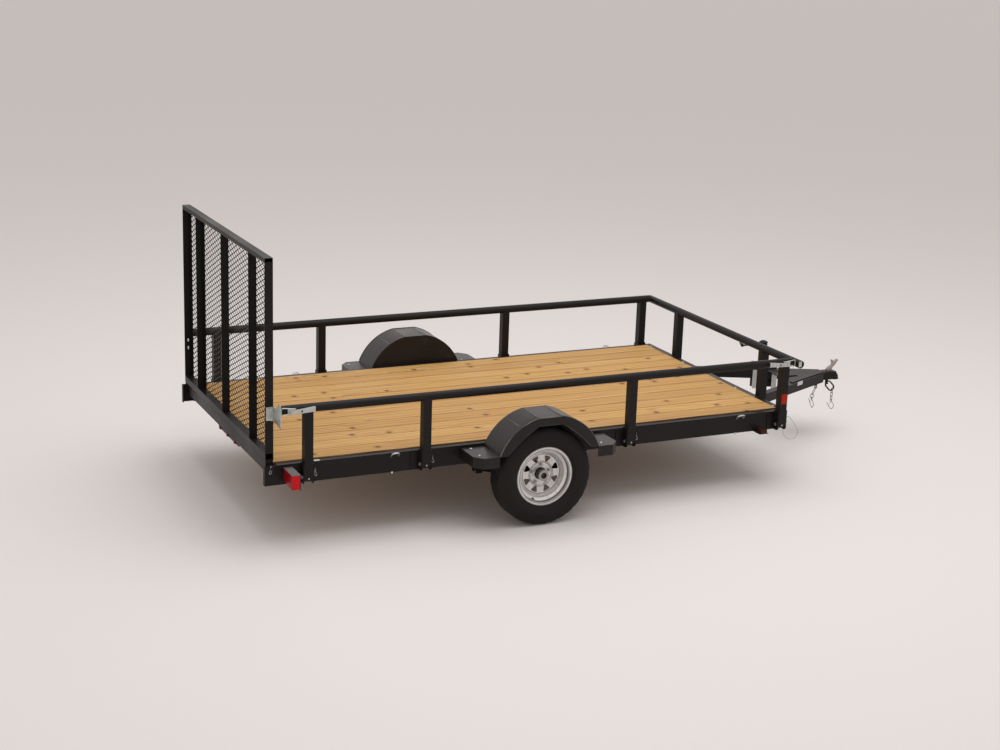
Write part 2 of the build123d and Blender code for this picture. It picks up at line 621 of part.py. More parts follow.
def rim():
    """Steel wheel: drop-centre barrel, dished disc with eight holes, lug holes and centre bore."""
    w = RIM_WIDTH / 2
    flange = RIM_FLANGE_RADIUS
    seat = RIM_BEAD_RADIUS
    well = RIM_WELL
    t = RIM_SHEET
    barrel = turned([
        (-w - t, flange), (-w, flange), (-w, seat + 2), (-w + 22, seat - 1), (-w + 32, well),
        (w - 32, well), (w - 22, seat - 1), (w, seat + 2), (w, flange), (w + t, flange),
        (w + t, seat - 1), (w - 20, seat - 4), (w - 30, well - t), (-w + 30, well - t),
        (-w + 20, seat - 4), (-w - t, seat - 1)])
    pad = DISC_FACE_Y - TYRE_Y
    face = pad + RIM_DISH
    inner = well - t + 0.5
    disc = turned([
        (pad, RIM_BORE), (pad, RIM_PAD + 1), (face, RIM_PAD + 8), (face, RIM_SPOKE_END),
        (pad - DISC, RIM_SPOKE_END + 12), (pad - RIM_DISH, inner), (pad + DISC - 2, inner),
        (pad + DISC, RIM_SPOKE_END + 14), (face + DISC, RIM_SPOKE_END + 2), (face + DISC, RIM_PAD + 6),
        (pad + DISC, RIM_PAD - 1), (pad + DISC, RIM_BORE)])
    wheel = barrel + disc
    for number in range(RIM_HOLES):
        wheel -= rim_hole(number)
    for k in range(LUG_COUNT):
        a = 2 * math.pi * k / LUG_COUNT + math.pi / 2
        x = LUG_PCD / 2 * math.cos(a)
        z = LUG_PCD / 2 * math.sin(a)
        wheel -= rod(STUD_RADIUS + 0.6, (x, pad - 5, z), (x, pad + 2 * DISC, z))
    return wheel


TYRE_WALL = 9.0
TYRE_SHOULDER_DROP = 9.0
TYRE_CROWN_HALF = 40.0


def ring_stack(points):
    """Solid about the wheel axis with flat sides, one of them below, from (outward, radius) points."""
    spread = 1 / math.cos(math.pi / TYRE_SIDES)
    turns = [2 * math.pi * (k + 0.5) / TYRE_SIDES for k in range(TYRE_SIDES)]
    rings = []
    for outward, radius in points:
        reach = radius * spread
        rings.append([Vector(reach * math.cos(turn), outward, reach * math.sin(turn)) for turn in turns])
    faces = [Face(Wire.make_polygon(ring)) for ring in (rings[0], rings[-1])]
    for low, high in zip(rings, rings[1:]):
        for k in range(TYRE_SIDES):
            faces.append(Face(Wire.make_polygon([low[k - 1], low[k], high[k], high[k - 1]])))
    return Solid(Shell(faces))


def mirrored(points):
    """Profile points repeated on the wheel's other side, in one run."""
    return [(-outward, radius) for outward, radius in points] + points[::-1]


def tyre():
    """Bias-ply trailer tyre, hollow, seated on the rim, in flat facets."""
    bead = RIM_BEAD_RADIUS + 2.3
    lip = RIM_FLANGE_RADIUS + 2
    w = RIM_WIDTH / 2 - WELD_GAP
    side = TYRE_WIDTH / 2
    shoulder = TYRE_RADIUS - TYRE_SHOULDER_DROP
    belly = (bead + TYRE_RADIUS) / 2
    wall = TYRE_WALL
    outer = [(w, bead), (w, lip), (side, belly - 8), (side - 2, belly + 22), (side - 18, shoulder),
             (TYRE_CROWN_HALF, TYRE_RADIUS)]
    inner = [(w - wall, bead - 1), (w - wall, lip + 3), (side - wall, belly),
             (TYRE_CROWN_HALF, shoulder - wall)]
    bore = ring_stack([(-side, bead), (side, bead)])
    return ring_stack(mirrored(outer)) - bore - ring_stack(mirrored(inner))


def hub():
    """Hub with its flange, five studs with nuts, and an open grease-cap hole."""
    back = HUB_INNER - TYRE_Y
    face = DISC_FACE_Y - TYRE_Y
    nose = HUB_OUTER - TYRE_Y
    body = rod(HUB_RADIUS, (0, back, 0), (0, nose, 0))
    body += rod(HUB_FLANGE_RADIUS, (0, face - HUB_FLANGE, 0), (0, face, 0))
    body -= rod(SPINDLE_RADIUS + FIT, (0, back - 1, 0), (0, SPINDLE_END - TYRE_Y + 6, 0))
    body -= rod(15, (0, nose - 12, 0), (0, nose + 1, 0))
    for k in range(LUG_COUNT):
        a = 2 * math.pi * k / LUG_COUNT + math.pi / 2
        x = LUG_PCD / 2 * math.cos(a)
        z = LUG_PCD / 2 * math.sin(a)
        body += rod(STUD_RADIUS, (x, face - 2, z), (x, face + 26, z))
        nut = Plane(origin=(x, face + DISC + WELD_GAP, z), z_dir=(0, 1, 0)) * RegularPolygon(11, 6)
        body += extrude(nut, 15)
    return body


# ---- fenders ------------------------------------------------------------------------------------
def fender_x(sign):
    """Middle of a fender along the trailer."""
    return AXLE_X - LEFT_FENDER_SETBACK if sign > 0 else AXLE_X


def fender_outline(middle, inset, drop):
    """Side view of a fender: a flat top between two rounded shoulders."""
    half = FENDER_HALF - inset
    top = FENDER_TOP - inset
    step = FENDER_STEP_HALF
    base = FENDER_BASE - drop
    shoulder = top - FENDER_SHOULDER
    bulge = half - FENDER_BULGE
    edges = [ThreePointArc((middle - half, FENDER_BASE), (middle - bulge, shoulder), (middle - step, top)),
             Line((middle - step, top), (middle + step, top)),
             ThreePointArc((middle + step, top), (middle + bulge, shoulder), (middle + half, FENDER_BASE)),
             Line((middle + half, base), (middle - half, base))]
    if drop:
        edges.append(Line((middle - half, base), (middle - half, FENDER_BASE)))
        edges.append(Line((middle + half, FENDER_BASE), (middle + half, base)))
    return make_face(edges)


def across(face, sign, y0, y1):
    """Side-view face extruded between two distances from the middle."""
    plane = Plane(origin=(0, sign * y0, 0), x_dir=(1, 0, 0), z_dir=(0, -1, 0))
    return extrude(plane * face, -sign * (y1 - y0))


def fender(sign):
    """Fender shell: top, closed inner wall and an outer skirt."""
    middle = fender_x(sign)
    wall = FENDER_WALL
    body = across(fender_outline(middle, 0, 0), sign, FENDER_INNER, FENDER_OUTER)
    body -= across(fender_outline(middle, wall, 10), sign, FENDER_INNER + wall, FENDER_OUTER - wall)
    opening = fender_outline(middle, FENDER_SKIRT, 10)
    body -= across(opening, sign, FENDER_OUTER - 2 * wall, FENDER_OUTER + 10)
    return body


def fender_step(sign, end):
    """Bracket plate at one end of a fender, turned down at its edges."""
    near = fender_x(sign) + end * (FENDER_HALF + WELD_GAP)
    far = near + end * (STEP_LENGTH - WELD_GAP)
    outer = FENDER_OUTER - 2 * STEP_SHEET
    rail = HALF + WELD_GAP
    plan = [(near, rail), (near, outer), (far - end * STEP_CHAMFER_X, outer),
            (far, outer - STEP_CHAMFER_Y), (far, rail)]
    plan = [(x, sign * y) for x, y in plan]
    block = extrude(Plane.XY.offset(FENDER_BASE) * make_face(Polyline(*plan, close=True)), -STEP_DROP)
    t = STEP_SHEET
    inset = [(near - end, rail - 1), (near - end, outer - t),
             (far - end * (STEP_CHAMFER_X + 0.4 * t), outer - t),
             (far - end * t, outer - STEP_CHAMFER_Y - 0.4 * t), (far - end * t, rail - 1)]
    inset = [(x, sign * y) for x, y in inset]
    hollow = extrude(Plane.XY.offset(FENDER_BASE - t) * make_face(Polyline(*inset, close=True)), -STEP_DROP)
    return block - hollow


# ---- guard rails --------------------------------------------------------------------------------
POST_FOOT = 30.0


def post(x, y, z0, tube_axis_z, along):
    """Square tube post, solid at its foot, cut to the round tube on its top."""
    outer = slab(x - POST / 2, x + POST / 2, y - POST / 2, y + POST / 2, z0, tube_axis_z)
    inner = POST / 2 - POST_WALL
    hollow = slab(x - inner, x + inner, y - inner, y + inner, z0 + POST_FOOT, tube_axis_z + 1)
    reach_x, reach_y = (POST, 0) if along == "x" else (0, POST)
    saddle = rod(GUARD_TUBE_RADIUS + WELD_GAP, (x - reach_x, y - reach_y, tube_axis_z),
                 (x + reach_x, y + reach_y, tube_axis_z))
    return outer - hollow - saddle


def guard_rail(sign):
    """Fold-down side guard: top tube and four posts with rounded, drilled feet."""
    y = sign * GUARD_Y
    z = GUARD_TOP_Z
    tube = pipe(GUARD_TUBE_RADIUS, GUARD_TUBE_WALL, (GUARD_REAR_X, y, z), (GUARD_FRONT_X, y, z))
    posts = []
    for x in POST_STATIONS:
        leg = post(x, y, GUARD_PIVOT_Z, GUARD_TOP_Z, "x")
        foot = rod(POST / 2, (x - POST / 2, y, GUARD_PIVOT_Z), (x + POST / 2, y, GUARD_PIVOT_Z))
        hole = rod(PIN_RADIUS + FIT, (x - POST, y, GUARD_PIVOT_Z), (x + POST, y, GUARD_PIVOT_Z))
        posts.append(leg + foot - hole)
    return [tube, *posts]


EAR_CORNER = 18.0
EAR_LIFT = 3.0
EAR_TAB_DROP = 14.0
PIN_TAIL = 6.0
PIN_HEAD = 4.0


def post_ears(sign):
    """Two ears beside each post foot, each with a tab on the rail's web."""
    ears = []
    y_out = GUARD_Y + POST / 2
    for x in POST_STATIONS:
        for end in (-1, 1):
            inner = x + end * (POST / 2 + EAR_GAP)
            outer = inner + end * EAR
            tab_end = min(outer + EAR_TAB, BED_LENGTH) if end > 0 else outer - EAR_TAB
            low = FRAME_BOTTOM + EAR_LIFT
            ear = side_slab(sign, inner, outer, HALF, y_out, low, EAR_TOP_Z)
            ear = fillet(ear.edges().filter_by(Axis.X).sort_by(lambda e: -abs(e.center().Y))[:2], EAR_CORNER)
            tab = side_slab(sign, inner, tab_end, HALF, HALF + EAR, low, EAR_TOP_Z - EAR_TAB_DROP)
            y = sign * GUARD_Y
            hole = rod(PIN_RADIUS + FIT, (x - POST, y, GUARD_PIVOT_Z), (x + POST, y, GUARD_PIVOT_Z))
            ears.append(ear + tab - hole)
    return ears


def pivot_pins(sign):
    """Pin through each post foot and its ears."""
    pins = []
    reach = POST / 2 + EAR_GAP + EAR + PIN_TAIL
    for x in POST_STATIONS:
        y = sign * GUARD_Y
        pin = rod(PIN_RADIUS, (x - reach, y, GUARD_PIVOT_Z), (x + reach, y, GUARD_PIVOT_Z))
        end = x - reach
        head = rod(PIN_RADIUS + PIN_HEAD, (end, y, GUARD_PIVOT_Z), (end + PIN_HEAD, y, GUARD_PIVOT_Z))
        pins.append(pin + head)
    return pins


def lock_pins(sign):
    """Ends of the pins that lock the posts upright: a head behind each post and a tip before it."""
    ends = []
    y = sign * GUARD_Y
    face = POST / 2 + EAR_GAP + EAR
    for x in POST_STATIONS:
        front, rear = x + face, x - face
        z = LOCK_PIN_Z
        ends.append(rod(LOCK_PIN_RADIUS, (front, y, z), (front + LOCK_PIN_REACH, y, z)))
        ends.append(rod(LOCK_PIN_RADIUS + PIN_HEAD, (rear, y, z), (rear - PIN_HEAD, y, z)))
    return ends


def front_guard():
    """Fixed guard across the front: tube on two posts."""
    x = FRONT_POST_X
    z = FRONT_TUBE_Z
    tube = pipe(GUARD_TUBE_RADIUS, GUARD_TUBE_WALL, (x, -FRONT_TUBE_HALF, z), (x, FRONT_TUBE_HALF, z))
    return [tube] + [post(x, y, FRAME_BOTTOM, z, "y") for y in (-FRONT_POST_Y, FRONT_POST_Y)]


# ---- ramp gate ----------------------------------------------------------------------------------
GATE_FRONT_X = GATE_REAR_X + GATE_DEPTH


def gate_upright(y_web, inward, z0, z1):
    """Angle upright: web across the gate's depth, leg behind the mesh."""
    web = slab(GATE_REAR_X, GATE_FRONT_X, y_web, y_web + inward * GATE_STEEL, z0, z1)
    leg = slab(GATE_FRONT_X - GATE_STEEL, GATE_FRONT_X, y_web, y_web + inward * GATE_ANGLE_LEG, z0, z1)
    return web + leg


def gate_frame():
    """Gate frame: top and bottom tubes, outer and inner uprights and two drilled lugs."""
    z_low = GATE_BOTTOM_Z
    z_foot = GATE_BOTTOM_Z + GATE_BOTTOM_HEIGHT
    z_top = GATE_TOP_Z - GATE_TOP_HEIGHT
    wall = GATE_STEEL
    top = slab(GATE_REAR_X, GATE_FRONT_X, -GATE_HALF, GATE_HALF, z_top, GATE_TOP_Z)
    rear, front = GATE_REAR_X + wall, GATE_FRONT_X - wall
    top -= slab(rear, front, -GATE_HALF - 1, GATE_HALF + 1, z_top + wall, GATE_TOP_Z - wall)
    low = slab(GATE_REAR_X, GATE_FRONT_X, -GATE_HALF, GATE_HALF, z_low, z_foot)
    low -= slab(rear, front, -GATE_HALF - 1, GATE_HALF + 1, z_low + wall, z_foot - wall)
    gate = top + low
    uprights = ((GATE_HALF, -1), (GATE_INNER_Y, -1), (0.0, 1), (-GATE_INNER_Y, 1), (-GATE_HALF, 1))
    for y_web, inward in uprights:
        gate = gate + gate_upright(y_web, inward, z_foot, z_top)
    for sign in (-1, 1):
        y0 = sign * (GATE_HALF - GATE_LUG)
        y1 = sign * GATE_HALF
        x, z = GATE_PIVOT_X, GATE_PIVOT_Z
        lug = slab(x - GATE_LUG_RADIUS, x + GATE_LUG_RADIUS, y0, y1, z, z_low)
        lug = lug + rod(GATE_LUG_RADIUS, (x, y0, z), (x, y1, z))
        lug -= rod(GATE_PIN_RADIUS + FIT, (x, y0 - sign, z), (x, y1 + sign, z))
        gate = gate + lug
    return gate


MESH_EDGE = 6.0
SHORTEST_STRAND = 60.0
PIN_COLLAR = 6.0
PIN_OUTSIDE = 16.0
PIN_INSIDE = 3.0


def mesh_layer(lean, x):
    """One family of the mesh's slanting strands, as bars clipped to the panel."""
    z0 = GATE_BOTTOM_Z + MESH_EDGE
    z1 = GATE_TOP_Z - MESH_EDGE
    half = GATE_HALF - MESH_EDGE
    width = 2 * half
    height = z1 - z0
    rise = MESH_PITCH_Z / MESH_PITCH_Y
    count = int((height + width * rise) / MESH_PITCH_Z) + 1
    bars = []
    plane = Plane(origin=(x, 0, z0), x_dir=(0, 1, 0), z_dir=(1, 0, 0))
    thick = MESH_STRAND * math.sqrt(1 + rise ** 2)
    for k in range(count):
        low = -width * rise + (k + 0.5) * MESH_PITCH_Z
        corners = [(-lean * half, low), (lean * half, low + width * rise),
                   (lean * half, low + width * rise + thick), (-lean * half, low + thick)]
        strip = make_face(Polyline(*corners, close=True)) & Pos(0, height / 2) * Rectangle(width, height)
        pieces = extrude(plane * strip, MESH_SHEET).solids()
        bars.extend(bar for bar in pieces if bar.bounding_box().size.Y > SHORTEST_STRAND)
    return bars


def gate_mesh():
    """Expanded-metal panel on the gate's forward side, as two layers of strands."""
    first = GATE_FRONT_X + WELD_GAP
    second = first + MESH_SHEET + WELD_GAP
    return mesh_layer(1, first) + mesh_layer(-1, second)


def gate_pins():
    """Hinge pins through the rails, each with its collar."""
    pins = []
    for sign in (-1, 1):
        inner = sign * (GATE_HALF - GATE_LUG - PIN_INSIDE)
        outer = sign * (HALF + PIN_OUTSIDE)
        x = GATE_PIVOT_X
        z = GATE_PIVOT_Z
        pin = rod(GATE_PIN_RADIUS, (x, inner, z), (x, outer, z))
        start = sign * (GATE_HALF + PIN_INSIDE / 2)
        collar = rod(GATE_PIN_RADIUS + PIN_COLLAR, (x, start, z), (x, sign * WEB_INNER, z))
        pins.append(pin + collar)
    return pins


# ---- latches ------------------------------------------------------------------------------------
TUBE_SIDE_Y = GUARD_Y + GUARD_TUBE_RADIUS
BAIL_WIRE = 2.5
BAIL_END_GAP = 3.5
BAIL_BEND = 9.0
# Bail, from the tube's end and above the tube's axis: (inward, up).
BAIL_ROUTE = ((86.0, -11.0), (BAIL_WIRE, -26.0), (BAIL_WIRE, 20.0), (86.0, 10.0))
TOGGLE_BASE = (40.0, 88.0, -19.0, 13.0)
TOGGLE_BASE_DEPTH = 9.0
LEVER_START = 50.0
LEVER_END = 197.0
LEVER_START_Z = -8.0
LEVER_RISE = 11.0
LEVER_HALF_START = 10.0
LEVER_HALF = 14.0
LEVER_DEPTH = 13.0
LEVER_SHEET = 2.5
LEVER_HOLE_AT = 118.0
LEVER_HOLE = 6.0
LEVER_PIVOT_AT = 64.0
LEVER_PIVOT = 8.0

CATCH_SHEET = 3.0
CATCH_REAR_X = 19.0
CATCH_FRONT_X = 66.5
CATCH_BOTTOM_Z = GUARD_TOP_Z - 73.0
CATCH_TOP_Z = GUARD_TOP_Z + 5.0
# Outline of the catch's outer blade: (out from the guard's line, up from its tube's axis).
CATCH_BLADE = ((-21.4, 5), (28.6, 42), (60.6, 44), (60.6, -85), (50.6, -97), (33.6, -88))
FRONT_CATCH_HALF = 12.0
FRONT_CATCH_HEIGHT = 19.0
FRONT_CATCH_INSET = 5.0


def toggle_latch(sign, end_x, direction):
    """Over-centre latch on the outer side of a guard's tube: base, lever and wire bail."""
    def side(points, y0, y1):
        corners = [(end_x + direction * inward, GUARD_TOP_Z + up) for inward, up in points]
        return prism_y(corners, sign * y0, sign * y1)

    y = TUBE_SIDE_Y + WELD_GAP
    a0, a1, z0, z1 = TOGGLE_BASE
    base = side([(a0, z0), (a1, z0), (a1, z1), (a0, z1)], y, y + TOGGLE_BASE_DEPTH)

    def lever_outline(inset):
        low, high = LEVER_START_Z, LEVER_START_Z + LEVER_RISE
        start, end = LEVER_START + inset, LEVER_END + inset
        near, far = LEVER_HALF_START - inset, LEVER_HALF - inset
        return [(start, low - near), (end, high - far), (end, high + far), (start, low + near)]

    y_lever = y + TOGGLE_BASE_DEPTH - WELD_GAP
    lever = side(lever_outline(0), y_lever, y_lever + LEVER_DEPTH)
    lever -= side(lever_outline(LEVER_SHEET), y_lever - 1, y_lever + LEVER_DEPTH - LEVER_SHEET)

    def bore(inward, up, radius, y0, y1):
        x = end_x + direction * inward
        return rod(radius, (x, sign * y0, GUARD_TOP_Z + up), (x, sign * y1, GUARD_TOP_Z + up))

    hole_up = LEVER_START_Z + LEVER_RISE * (LEVER_HOLE_AT - LEVER_START) / (LEVER_END - LEVER_START)
    lever -= bore(LEVER_HOLE_AT, hole_up, LEVER_HOLE, y_lever, y_lever + LEVER_DEPTH + 1)
    pivot = bore(LEVER_PIVOT_AT, LEVER_START_Z, LEVER_PIVOT, y, y_lever + LEVER_DEPTH + PIN_HEAD)
    plane = Plane(origin=(end_x, sign * (y + TOGGLE_BASE_DEPTH - BAIL_WIRE), GUARD_TOP_Z),
                  x_dir=(direction, 0, 0), z_dir=(0, -direction, 0))
    line = plane * FilletPolyline(*BAIL_ROUTE, radius=BAIL_BEND)
    bail = sweep(Plane(origin=line @ 0, z_dir=line % 0) * Circle(BAIL_WIRE), path=line)
    return base + lever + pivot + bail


def gate_catch(sign):
    """Zinc catch on a gate upright: a plate on its outer face, bent out to a pointed blade."""
    y0 = GATE_HALF + WELD_GAP
    y1 = y0 + CATCH_SHEET
    plate = side_slab(sign, CATCH_REAR_X, CATCH_FRONT_X, y0, y1, CATCH_BOTTOM_Z, CATCH_TOP_Z)
    blade = [(GUARD_Y + out, GUARD_TOP_Z + up) for out, up in CATCH_BLADE]
    outline = [(y1 - 1, CATCH_BOTTOM_Z), (y1 - 1, CATCH_TOP_Z), *blade]
    outline = [(sign * y, z) for y, z in outline]
    plane = Plane(origin=(CATCH_FRONT_X - CATCH_SHEET, 0, 0), x_dir=(0, 1, 0), z_dir=(1, 0, 0))
    return plate + extrude(plane * make_face(Polyline(*outline, close=True)), CATCH_SHEET)


def front_catch(sign):
    """Catch plate in the open end of the front tube."""
    y = FRONT_TUBE_HALF - FRONT_CATCH_INSET
    x = FRONT_POST_X
    z = FRONT_TUBE_Z
    return side_slab(sign, x - FRONT_CATCH_HALF, x + FRONT_CATCH_HALF, y - CATCH_SHEET, y,
                     z - FRONT_CATCH_HEIGHT, z + FRONT_CATCH_HEIGHT)


# ---- jack ---------------------------------------------------------------------------------------
def jack_place(outward, z):
    """Point out from the left tongue beam's centre line at the jack, and the outward direction."""
    x, y = tongue_point(JACK_STATION, outward, 1)
    return (x, y, z)


JACK_AXIS_OUT = TONGUE_WIDTH / 2 + JACK_OFFSET
SWIVEL_Z = 395.0
SWIVEL_RADIUS = 20.0
STRAP_HALF = 68.0
STRAP_BOTTOM_Z = 298.0
STRAP_TOP_Z = 433.0
STRAP_LOW_BOLT_Z = 330.0
STRAP_HIGH_BOLT_Z = 391.0
STRAP_HALF_WIDTH = 18.0
PLUNGER = 12.0
PLUNGER_BACK = 66.0
PLUNGER_REACH = 16.0
PLUNGER_DROP = 19.0
JACK_PLATE = 6.0
JACK_PLATE_HALF = 92.0
JACK_PLATE_TOP_Z = 482.0
JACK_BOLT = 5.0
JACK_DOME = 12.0
SLEEVE_LENGTH = 38.0
CRANK_DROP = 42.0
CRANK_SHAFT = 8.0
CRANK_REACH = 34.0
CRANK_ARM = 165.0
CRANK_GRIP = 78.0
FOOT_PLATE = 6.0
FOOT_COLLAR = 10.0


def jack_box(a0, a1, n0, n1, z0, z1):
    """Box beside the left beam: a along the beam, rearward, n outward from its centre line."""
    x, y, _ = jack_place(0, 0)
    plane = tongue_frame(x, y, 0, 1)
    block = Pos((a0 + a1) / 2, (n0 + n1) / 2, -(z0 + z1) / 2) * Box(abs(a1 - a0), abs(n1 - n0), abs(z1 - z0))
    return plane * block


def jack_mount():
    """Plate on the beam's outer face with the swivel spindle."""
    face = TONGUE_WIDTH / 2 + WELD_GAP
    outer = face + JACK_PLATE
    plate = jack_box(-JACK_PLATE_HALF, JACK_PLATE_HALF, face, outer, STRAP_BOTTOM_Z, JACK_PLATE_TOP_Z)
    spindle = rod(SWIVEL_RADIUS, jack_place(face, SWIVEL_Z), jack_place(face + SLEEVE_LENGTH, SWIVEL_Z))
    collar = rod(SWIVEL_RADIUS + 7, jack_place(outer, SWIVEL_Z), jack_place(outer + 6, SWIVEL_Z))
    plunger = jack_box(PLUNGER_BACK, PLUNGER_BACK + PLUNGER, outer, outer + PLUNGER_REACH,
                       SWIVEL_Z - PLUNGER_DROP, SWIVEL_Z - PLUNGER_DROP + PLUNGER)
    return plate + spindle + collar + plunger


def jack_clamps():
    """Two straps on the beam's inner face, bolted to the plate above and below the beam."""
    straps = []
    face = TONGUE_WIDTH / 2 + WELD_GAP
    for a in (-STRAP_HALF, STRAP_HALF):
        strap = jack_box(a - STRAP_HALF_WIDTH, a + STRAP_HALF_WIDTH, -face - JACK_PLATE, -face,
                         STRAP_BOTTOM_Z, STRAP_TOP_Z)
        strap += jack_bolt(a, STRAP_LOW_BOLT_Z, -face - 2 * JACK_PLATE, face - WELD_GAP)
        strap += jack_bolt(a, STRAP_HIGH_BOLT_Z, -face - 2 * JACK_PLATE, -face)
        straps.append(strap)
    return straps


def jack_bolt(a, z, n0, n1):
    """Bolt across the beam."""
    angle = math.radians(TONGUE_HALF_ANGLE)
    x, y, _ = jack_place(0, 0)
    x -= a * math.cos(angle)
    y += a * math.sin(angle)
    out = (math.sin(angle), math.cos(angle))
    return rod(JACK_BOLT, (x + n0 * out[0], y + n0 * out[1], z), (x + n1 * out[0], y + n1 * out[1], z))


def jack_tube():
    """Outer tube with cap, swivel sleeve and the saddle between them."""
    x, y, _ = jack_place(JACK_AXIS_OUT, 0)
    face = TONGUE_WIDTH / 2 + WELD_GAP
    tube_top = JACK_TOP_Z - JACK_DOME - JACK_WALL
    tube = pipe(JACK_TUBE_RADIUS, JACK_WALL, (x, y, JACK_TUBE_BOTTOM_Z), (x, y, tube_top))
    cap_radius = JACK_TUBE_RADIUS + JACK_WALL
    cap = rod(cap_radius, (x, y, JACK_TOP_Z - JACK_DOME - JACK_WALL), (x, y, JACK_TOP_Z - JACK_DOME))
    dome_radius = (cap_radius ** 2 + JACK_DOME ** 2) / (2 * JACK_DOME)
    dome = Pos(x, y, JACK_TOP_Z - dome_radius) * Sphere(dome_radius)
    cap += dome & slab(x - POST, x + POST, y - POST, y + POST, JACK_TOP_Z - JACK_DOME, JACK_TOP_Z)
    sleeve_end = face + SLEEVE_LENGTH
    sleeve = rod(SWIVEL_RADIUS + 12, jack_place(face + 13, SWIVEL_Z), jack_place(sleeve_end, SWIVEL_Z))
    saddle = jack_box(-16, 16, sleeve_end, JACK_AXIS_OUT, SWIVEL_Z - 34, SWIVEL_Z + 34)
    saddle -= rod(JACK_TUBE_RADIUS, (x, y, JACK_TUBE_BOTTOM_Z), (x, y, JACK_TOP_Z))
    body = tube + cap + sleeve + saddle
    bore_ends = [jack_place(along, SWIVEL_Z) for along in (face + 12, sleeve_end + 0.1)]
    return body - rod(SWIVEL_RADIUS + FIT, *bore_ends)


def jack_crank():
    """Side crank: shaft, arm and grip."""
    shaft_z = JACK_TOP_Z - CRANK_DROP
    a = jack_place(JACK_AXIS_OUT + JACK_TUBE_RADIUS, shaft_z)
    b = jack_place(JACK_AXIS_OUT + JACK_TUBE_RADIUS + CRANK_REACH, shaft_z)
    elbow = Vector(*b)
    tip = elbow + Vector(-CRANK_ARM, 0, 0)
    out = (Vector(*b) - Vector(*a)).normalized()
    shaft = rod(CRANK_SHAFT, a, tuple(elbow))
    arm = rod(CRANK_SHAFT - 2, tuple(elbow), tuple(tip))
    grip = rod(CRANK_SHAFT + 3, tuple(tip), tuple(tip + out * CRANK_GRIP))
    return shaft + Pos(*elbow) * Sphere(CRANK_SHAFT) + arm + grip


def jack_leg():
    """Sliding leg with its round foot."""
    x, y, _ = jack_place(JACK_AXIS_OUT, 0)
    radius = JACK_TUBE_RADIUS - JACK_WALL - FIT
    leg_top = JACK_TOP_Z - JACK_DOME - 2 * JACK_WALL - JACK_TRAVEL
    leg = rod(radius, (x, y, FOOT_PLATE), (x, y, leg_top))
    leg -= rod(radius - JACK_WALL, (x, y, 2 * (FOOT_PLATE + FOOT_COLLAR)), (x, y, JACK_TOP_Z))
    foot = rod(JACK_FOOT_RADIUS, (x, y, 0), (x, y, FOOT_PLATE))
    foot += rod(radius + 8, (x, y, FOOT_PLATE), (x, y, FOOT_PLATE + FOOT_COLLAR))
    return leg + foot


# ---- lamps and small fittings -------------------------------------------------------------------
def tail_lamp(sign):
    """Boxed lamp standing out from the rail."""
    y0 = HALF + EAR
    return side_slab(sign, LAMP_X, LAMP_X + LAMP_DEPTH, y0, y0 + LAMP_REACH,
                     LAMP_BOTTOM_Z, LAMP_BOTTOM_Z + LAMP_HEIGHT)


BRACKET_SHEET = 3.0
BRACKET_HANG = 6.0


def lamp_bracket(sign):
    """Steel bracket behind and over a tail lamp."""
    front = LAMP_X + LAMP_DEPTH + WELD_GAP
    top = LAMP_BOTTOM_Z + LAMP_HEIGHT + WELD_GAP
    back_face = front + BRACKET_SHEET
    reach = HALF + EAR + LAMP_REACH
    back = side_slab(sign, front, back_face, HALF, reach, LAMP_BOTTOM_Z - BRACKET_HANG, top + BRACKET_SHEET)
    cover = side_slab(sign, LAMP_X, back_face, HALF, reach, top, top + BRACKET_SHEET)
    return back + cover


ID_LAMP_X = 38.0
ID_LAMP_Z = 409.0
ID_LAMP_PITCH = 155.0
ID_LAMP_RADIUS = 15.0
ID_LAMP_DEPTH = 14.0
ID_BAR_HALF = 215.0
ID_BAR_SHEET = 4.0
MARKER_X = BED_LENGTH - 210.0
MARKER_HALF = 32.0
MARKER_LENS_HALF = 24.0
MARKER_REACH = 72.0
MARKER_LENS_INNER = 30.0
MARKER_HEIGHT = 24.0


def id_lamp_bar():
    """Flat bar hanging from the rear sill."""
    bottom = FRAME_TOP - REAR_SILL_DEPTH
    x = ID_LAMP_X + ID_LAMP_DEPTH
    return slab(x, x + ID_BAR_SHEET, -ID_BAR_HALF, ID_BAR_HALF, ID_LAMP_Z - ID_LAMP_RADIUS - 2, bottom)


def id_lamps():
    """Three small round lamps."""
    front = ID_LAMP_X + ID_LAMP_DEPTH - WELD_GAP
    return [rod(ID_LAMP_RADIUS, (ID_LAMP_X, y, ID_LAMP_Z), (front, y, ID_LAMP_Z))
            for y in (-ID_LAMP_PITCH, 0, ID_LAMP_PITCH)]


def marker_bracket(sign):
    """Flat bracket under the rail for the side marker lamp."""
    top = FRAME_BOTTOM - WELD_GAP
    return side_slab(sign, MARKER_X - MARKER_HALF, MARKER_X + MARKER_HALF, HALF - MARKER_LENS_INNER,
                     HALF + MARKER_REACH, top - BRACKET_SHEET, top)


def marker_lamp(sign):
    """Side marker lamp, standing on its bracket."""
    x = MARKER_X
    return side_slab(sign, x - MARKER_LENS_HALF, x + MARKER_LENS_HALF, HALF + MARKER_LENS_INNER,
                     HALF + MARKER_REACH, FRAME_BOTTOM, FRAME_BOTTOM + MARKER_HEIGHT)


TIE_LOOP_STATIONS = (POST_STATIONS[1] - 179.0, POST_STATIONS[3] - 285.0)
TIE_LEAN = 42.0
TIE_HALF = 23.0
TIE_REACH = 44.0
TIE_BEND = 18.0
TIE_WIRE = 4.5
TIE_SINK = 6.0
TIE_DROP = 26.0


